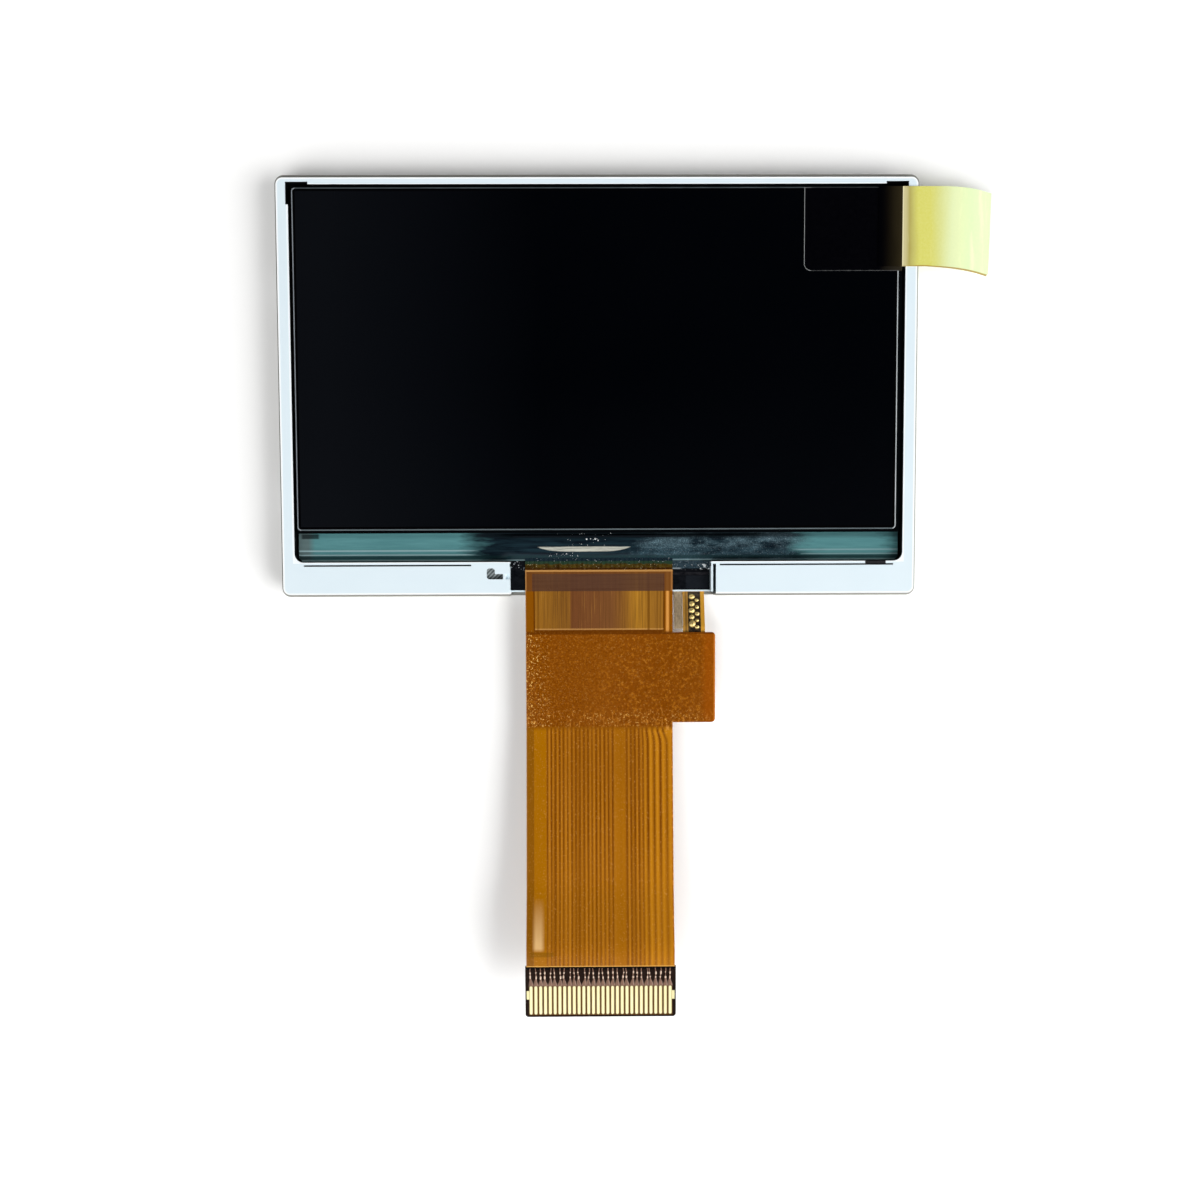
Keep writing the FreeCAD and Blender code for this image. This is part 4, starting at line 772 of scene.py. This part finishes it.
def makeSkin():
    # the flex's film in two grids that follow the top line of the CAD coverlay
    low, high = span("flex_coverlay")
    places, heights = topLine("flex_coverlay")
    half, corner = flex["stripHalf"], flex["corner"]
    wideSouth, wideNorth = flex["wideY"]
    fine, coarse, long = flex["along"]
    shelf = wideNorth + 0.3
    wideStops = [flex["halves"], wideSouth, wideSouth + corner, wideNorth - corner, wideNorth, shelf]
    north = (spread([low[0], half, high[0]], flex["across"]),
             np.concatenate([spread(wideStops, fine)[:-1], spread([shelf, high[1]], coarse)]))
    south = (spread([low[0], half], flex["across"]), spread([low[1], flex["halves"]], long))
    finish = flexFinish()
    for name, (xs, ys) in (("flex_skin_north", north), ("flex_skin_south", south)):
        x, y = np.meshgrid(xs, ys)
        turn = (np.clip((wideSouth + corner - y) / corner, 0, 1)
                + np.clip((y - wideNorth + corner) / corner, 0, 1))
        edge = high[0] - corner + corner * np.sqrt(np.clip(1 - turn * turn, 0, 1))
        onWide = (y >= wideSouth - 1e-6) & (y <= wideNorth + 1e-6)
        x = np.where(onWide & (x > half), half + (x - half) * (edge - half) / (high[0] - half), x)
        base = np.interp(y, places, heights)
        top = skinHeights(x, y, base, np.where(onWide, edge, half))
        middleX, middleY = (x[:-1, :-1] + x[1:, 1:]) / 2, (y[:-1, :-1] + y[1:, 1:]) / 2
        keep = (middleX < half) | ((middleY > wideSouth) & (middleY < wideNorth))
        piece = slab(name, (x, y), top, base - flex["thick"], keep)
        piece.data.materials.append(finish.material)
        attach(piece, "root")
        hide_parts("flex_coverlay")

def tailTones(finish, x, y, place, cloud, litDimples, glintSpots):
    # traces of the tail with dark gaps between them; those at the right curve in just below the wide part
    broad, half = flex["broadTrace"], flex["stripHalf"]
    fan = finish.level(y, 0.7, -0.7 * (flex["traceStart"] - 1.2))
    shifted = x + fan * fan * finish.level(x, 0.14, -0.56)
    trace = finish.between(x, broad[0], 9.0, 0.05)
    deep = finish.noise(place, 1.7, 2.0, 0.5, (1, 0.01, 0.01)) * 1.2 + 0.35
    deep = finish.maths("MINIMUM", deep, 1.0) * (1.0 - finish.between(y, -70.0, -54.0, 8.0) * 0.3)
    for first, pitch, start, end in flex["gaps"]:
        off = finish.maths("ABSOLUTE", finish.maths("FRACT", (shifted - first) / pitch + 0.5) - 0.5)
        clear = finish.level(off, 2.9, -0.22)
        trace = trace - (1.0 - clear) * finish.between(shifted, start, end, 0.04) * deep
    trace = finish.maths("MAXIMUM", trace, 0.0)
    each = finish.level(finish.noise(place, 3.4, 2.0, 0.6, (1, 0.004, 0.004)), 2.4, -0.7)
    # a soft pane of light on the broad trace that fades upwards
    glare = (finish.inside(x, y, (-6.72, -6.2, 0.42), (-58.15, -40.0, 0.42))
             * finish.level(y, -1 / 4.4, -53.2 / 4.4))
    # painted shade just below the glare
    below = finish.between(y, -59.0, -58.6, 0.08) * finish.between(x, -7.2, -5.0, 0.3)
    dim = finish.between(y, -40.0, -30.0, 6.0) * finish.between(x, -4.0, 4.9, 0.4)
    return finish.layers(
        finish.mix(trace, finish.mix(cloud, *flex["betweenTraces"]), finish.mix(each, *flex["overCopper"])),
        (finish.between(x, 1.72, 2.66, 0.06) * 0.85, (164, 100, 4)),
        (finish.between(x, *broad, 0.04), finish.mix(cloud, *flex["broad"])),
        (finish.between(x, -8.0, broad[0] - 0.04, 0.04), flex["margin"]),
        (glare * (cloud * 0.4 + 0.8), flex["glare"]), (below * 0.5, (120, 78, 0)), (dim * 0.25, (130, 72, 2)),
        # gold over the traces on the right, painted glint spots scattered over the tail, and a painted highlight
        # of lit specks along the right edge
        (finish.between(x, 4.9, 7.6, 0.4) * trace * 0.6, (196, 128, 18)), (glintSpots * 0.3, (226, 168, 90)),
        (finish.between(x, half - 0.12, half + 1, 0.05) * 0.7, finish.mix(litDimples, (150, 84, 4), (230, 160, 70))))

def wideTones(finish, x, y, place, cloud, litDimples, glintSpots, shadedPits):
    # pressed wide part, its texture in painted light and shade: light dimples between darker ones, brighter
    # painted glints at its left edge, a painted highlight along the right edge and a painted shadow along the
    # north edge
    south, north = flex["wideY"]
    east = span("flex_coverlay")[1][0]
    west = finish.level(x, -1 / 2.4, -4.9 / 2.4)
    streaks = finish.level(finish.noise(place, 4.0, 3.0, 0.6, (1, 0.22, 1)), 8.0, -4.4)
    seam = finish.between(y, south - 1.0, south + 0.9, 0.5)
    return finish.layers(
        finish.mix(cloud, *flex["wide"]), (shadedPits * 0.6, flex["shadedPits"]),
        (litDimples * (0.5 + west * 0.2), flex["litDimples"]), (streaks * seam * 0.6, (196, 128, 46)),
        (glintSpots * (west * 0.9 + 0.12 + seam * 0.3), flex["glintDot"]),
        # darker towards the right edge, then a painted highlight along it
        (finish.between(x, east - 0.9, east + 1, 0.7) * 0.6, (150, 74, 0)),
        (finish.between(x, east - 0.14, east + 1, 0.05) * 0.7, (196, 118, 34)),
        # painted shadow along the north edge, where the window lies lower
        (finish.between(y, north - 0.16, north + 0.1, 0.08) * 0.7, (86, 40, 0)))

def windowTones(finish, x, y, place, cloud, long):
    # thin window with hair lines along the traces, and the darker border that frames it
    (west, east), south = flex["windowX"], flex["windowSouth"]
    inner = finish.add("ShaderNodeValToRGB", {"stops": [(at, shade(tone)) for at, tone in flex["windowStops"]]},
                       {"Fac": finish.maths("MULTIPLY_ADD", x, 1 / (east - west), 0.5)})
    hair = finish.noise(place, 8.0, 2.0, 0.6, (1, 0.02, 0.01))
    inset = (finish.between(x, 5.1, 5.3, 0.04) + finish.between(x, -6.5, -6.35, 0.05) * 0.7
             + finish.between(x, 6.08, 6.14, 0.05) * 0.6 + finish.between(x, 6.42, 6.46, 0.04) * 0.4)
    window = finish.layers(
        inner, (finish.level(hair, 5.0, -2.3) * 0.45, (88, 54, 24)),
        (finish.level(hair, -6.0, 2.3) * 0.5, (186, 134, 60)),
        (finish.between(y, south - 0.1, south + 0.10, 0.05) * 0.5, (206, 152, 84)), (inset * 0.7, (104, 62, 8)))
    inWindow = finish.inside(x, y, (west, east, 0.04), (south, -10.0, 0.05))
    around = finish.inside(x, y, (west - 0.12, east + 0.12, 0.08), (south - 0.26, -10.0, 0.10))
    border = finish.layers(
        finish.mix(cloud, *flex["border"]), (around * 0.85, (84, 38, 0)),
        (finish.between(x, 7.12, 7.27, 0.15) * (long * 0.5 + 0.55), (226, 158, 78)))
    # over the black recess the film looks mauve, with a pale outline
    over = finish.between(y, -21.02, -18.95, 0.04)
    inBand = finish.inside(x, y, (-7.0, 6.85, 0.05), (-22.0, -19.24, 0.05))
    stripes = finish.level(finish.noise(place, 1.6, 4.0, 0.6, (0.12, 4.0, 1)), 5.0, -2.3)
    mauve = finish.layers(finish.mix(long, *flex["mauve"]), (stripes * 0.5, (66, 38, 26)))
    mauve = finish.mix(inBand, finish.mix(long, (84, 46, 16), (124, 76, 32)), mauve)
    edge = finish.between(x, -7.80, -7.60, 0.04) + finish.between(x, 7.56, 7.8, 0.04)
    return finish.layers(
        finish.mix(inWindow, border, window), (over * 0.92, mauve),
        (finish.between(y, -18.98, -18.6, 0.04), flex["outline"]), (edge * over * 0.5, (176, 122, 66)))

def flexFinish():
    # amber film: dark between the traces, golden over copper, a thin window and a pressed wide part
    finish = Finish("cover_film")
    x, y, z, place = finish.spot()
    south, north = flex["wideY"]
    cloud = finish.noise(place, 0.25, 3.0, 0.5, (1, 0.4, 1))
    long = finish.noise(place, 2.2, 3.0, 0.6, (1, 0.02, 0.01))
    grain = finish.noise(place, 5.0, 3.0, 0.7)
    fine = finish.noise(place, 6.5, 2.0, 0.6)
    coarse = finish.level(x, 1 / 5.0, 0.5)
    # painted light and shade of the pressed texture, and painted glint spots
    litDimples = (finish.level(finish.noise(place, 3.4, 2.0, 0.55), 7.0, -3.7) * coarse
              + finish.level(grain, 8.0, -4.2) * (1.0 - coarse))
    glintSpots = finish.level(fine, 12.0, -7.2)
    tail = tailTones(finish, x, y, place, cloud, litDimples, glintSpots)
    wide = wideTones(finish, x, y, place, cloud, litDimples, glintSpots, finish.level(fine, -7.0, 3.1))
    top = windowTones(finish, x, y, place, cloud, long)
    base = finish.layers(
        top, (finish.between(y, south - 0.3, north - 0.05, 0.30), wide),
        (finish.between(y, -80.0, south - 0.9, 0.5), tail),
        # painted highlight along the film's left edge
        (finish.between(x, -8.0, span("flex_coverlay")[0][0] + 0.05, 0.04) * 0.4, (214, 158, 92)),
        (finish.between(y, -60.2, -60.0, 0.04) * 0.8, (226, 170, 84)))
    finish.surface(base, cloud * 0.12 + 0.22, gloss=0.14)
    finish.bump(grain, 0.25, 0.006 * mm)
    return finish

# Beads, bubbles and leads: many small domes or ribbons gathered in one mesh each

def domes(name, spots, material):
    # half balls at (x, y, z of the foot, radius, height, stretch along y), closed below by a fan
    rings, sides = 4, 12
    lift = np.linspace(0, math.pi / 2, rings + 1)[:-1]
    turn = np.linspace(0, 2 * math.pi, sides, endpoint=False)
    shell = np.stack([np.outer(np.cos(lift), np.cos(turn)).ravel(), np.outer(np.cos(lift), np.sin(turn)).ravel(),
                      np.repeat(np.sin(lift), sides)], -1)
    shell = np.concatenate([shell, [[0, 0, 1], [0, 0, 0]]])
    crown, foot = len(shell) - 2, len(shell) - 1
    walls = [(r * sides + k, r * sides + (k + 1) % sides, (r + 1) * sides + (k + 1) % sides, (r + 1) * sides + k)
             for r in range(rings - 1) for k in range(sides)]
    caps = [((rings - 1) * sides + k, (rings - 1) * sides + (k + 1) % sides, crown) for k in range(sides)]
    floors = [((k + 1) % sides, k, foot) for k in range(sides)]
    points, faces = [], []
    for x, y, z, radius, height, stretch in spots:
        start = len(points) * len(shell)
        points.append(shell * [radius, radius * stretch, height] + [x, y, z])
        faces += [tuple(start + i for i in face) for face in walls + caps + floors]
    piece = putMesh(name, np.concatenate(points) * mm, faces, smooth=True)
    piece.data.materials.append(material)
    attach(piece, "root")
    return piece

bead = {
    "columns": (9.80, 10.36),  # mm: the two rows of soldered holes on the narrow tail
    "radii": (0.34, 0.27),
    "first": -21.74,
    "pitch": 0.70,
    "count": 5,
    "reach": (-24.9, -21.4),  # no bead beyond these
}

def makeTailBeads(finishes):
    # solder that fills the holes of the narrow tail, irregular from one to the next
    rng = np.random.default_rng(7)
    places, heights = topLine("led_flex")
    spots = []
    for column, (x, radius) in enumerate(zip(bead["columns"], bead["radii"])):
        for k in range(bead["count"] + column):
            y = bead["first"] - bead["pitch"] * (k - 0.5 * column)
            if not bead["reach"][0] <= y <= bead["reach"][1]:
                continue
            foot = float(np.interp(y, places, heights)) - 0.03
            size = radius * rng.uniform(0.85, 1.15)
            spots.append((x + rng.uniform(-0.04, 0.04), y + rng.uniform(-0.04, 0.04), foot, size,
                          size * 0.75, rng.uniform(0.8, 1.05)))
    piece = domes("tail_beads", spots, finishes["solder"].material)
    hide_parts("tail_solder_dots")

leads = {
    "steps": 9,
    "half": (0.24, 0.05),  # mm: half width at the film and along the thin run
    "wander": 0.045,
    "gap": 0.18,  # left before the gold finger
    "holes": ((0.5, 0.11), (0.8, 0.10)),  # how far along, radius
}

def makeLeads():
    # thin wandering leads between the coverlay and the gold fingers, each with two plated holes
    rng = np.random.default_rng(11)
    low, high = span("contact_leads")
    steps = leads["steps"]
    wide, thin = leads["half"]
    along = np.linspace(0, 1, steps)
    y = low[1] + (high[1] - low[1] - leads["gap"]) * along
    foot, crest = np.full(steps, low[2]), np.full(steps, high[2] + 0.004)
    points, faces, spots = [], [], []
    for k in range(fingers["count"]):
        wander = np.cumsum(rng.uniform(-leads["wander"], leads["wander"], steps)) * ramp(along, 0.0, 0.3)
        width = wide - (wide - thin) * ramp(along, 0.05, 0.5) + rng.uniform(-0.015, 0.015, steps)
        middle = fingers["first"] + fingers["pitch"] * k + wander
        start = len(points) * steps * 4
        ribbon = [np.stack([middle + side * width, y, z], -1)
                  for side, z in ((-1, foot), (-0.6, crest), (0.6, crest), (1, foot))]
        points.append(np.stack(ribbon, 1).reshape(-1, 3))
        for r in range(steps - 1):
            for q in range(4):
                faces.append(tuple(start + i for i in (r * 4 + q, r * 4 + (q + 1) % 4,
                                                       r * 4 + 4 + (q + 1) % 4, r * 4 + 4 + q)))
        end = start + (steps - 1) * 4
        faces += [(start, start + 3, start + 2, start + 1), (end, end + 1, end + 2, end + 3)]
        for share, radius in leads["holes"]:
            at = min(int(share * (steps - 1) + 0.5), steps - 1)
            spots.append((middle[at], y[at] + rng.uniform(-0.06, 0.06), high[2] - 0.01,
                          radius * rng.uniform(0.6, 1.0), 0.035, rng.uniform(1.1, 2.4)))
    piece = putMesh("lead_tracks", np.concatenate(points) * mm, faces)
    finish = worn("lead_copper", (72, 48, 36), (160, 120, 98), 0.35, 2.6, 0.02, gloss=0.3, stretch=(1.6, 1, 1))
    piece.data.materials.append(finish.material)
    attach(piece, "root")
    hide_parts("contact_leads")
    pale = worn("plated_holes", (170, 128, 104), (250, 228, 204), 0.3, 3.0, gloss=0.4)
    domes("lead_holes", spots, pale.material)

seal = {
    "height": 0.34,  # mm at its crown
    "fall": (6, 2.2),  # exponents of its sides: square to the north, gentle to the south
    "run": 3.5,  # mm over which each end runs out
    "bubbles": ((30, (-4.4, 1.6), (-16.05, -14.98), (0.02, 0.045)),  # count, where in x and y, radius
                (4, (-1.4, 0.2), (-15.75, -15.55), (0.06, 0.11)),
                (7, (-3.4, 1.2), (-16.30, -16.10), (0.03, 0.06)),
                (22, (-5.2, -1.6), (-17.4, -16.95), (0.02, 0.045)),
                (60, (-7.4, 7.4), (-18.0, -17.55), (0.012, 0.035))),
}

def makeSealant(finishes):
    # low bead of clear sealant along the chip, its surface running out flat into the glass
    low, high = span("ledge_sealant")
    x, y = np.meshgrid(spread([low[0], high[0]], 0.25), spread([low[1], high[1]], 0.09))
    middle, half = (low[1] + high[1]) / 2, (high[1] - low[1]) / 2
    north, south = seal["fall"]
    across = np.abs(y - middle) / half
    ends = np.minimum(ramp(x, low[0], low[0] + seal["run"]), 1 - ramp(x, high[0] - seal["run"], high[0]))
    waves = smoothNoise(x, y, 1.4, 21) * 0.06 + smoothNoise(x, y, 0.4, 22) * 0.03
    dome = (1 - across ** np.where(y > middle, north, south)) * ends
    top = low[2] + 0.003 + dome * (seal["height"] + waves * 0.5)
    piece = slab("sealant_bead", (x, y), top, np.full_like(x, low[2]), np.ones((len(x) - 1, len(x[0]) - 1), bool))
    piece.data.materials.append(finishes["sealant"].material)
    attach(piece, "root")
    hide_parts("ledge_sealant")
    # air bubbles near the flex's middle, a few larger ones in a row
    rng = np.random.default_rng(5)
    spots = []
    for count, alongX, alongY, sizes in seal["bubbles"]:
        for k in range(count):
            x, y, size = rng.uniform(*alongX), rng.uniform(*alongY), rng.uniform(*sizes)
            out = min(abs(y - middle) / half, 1.0)
            rise = (seal["height"] - 0.01) * (1 - out ** (north if y > middle else south))
            spots.append((x, y, low[2] + max(rise, 0.09), size, size, 1.0))
    pale = worn("bubble_glass", (120, 132, 138), (244, 246, 246), 0.15, 6.0)
    domes("sealant_bubbles", spots, pale.material)

makeCamera()
makeLight()
makeFloor()
finishes = dress()
print("camera, light, floor and finishes made")
softened("backlight_frame", 0.06)
softened("back_tray", 0.05)
print("frame and tray softened")
makeSkin()
print("flexible circuit skinned")
makeTailBeads(finishes)
makeLeads()
makeSealant(finishes)
print("beads, leads and sealant made")
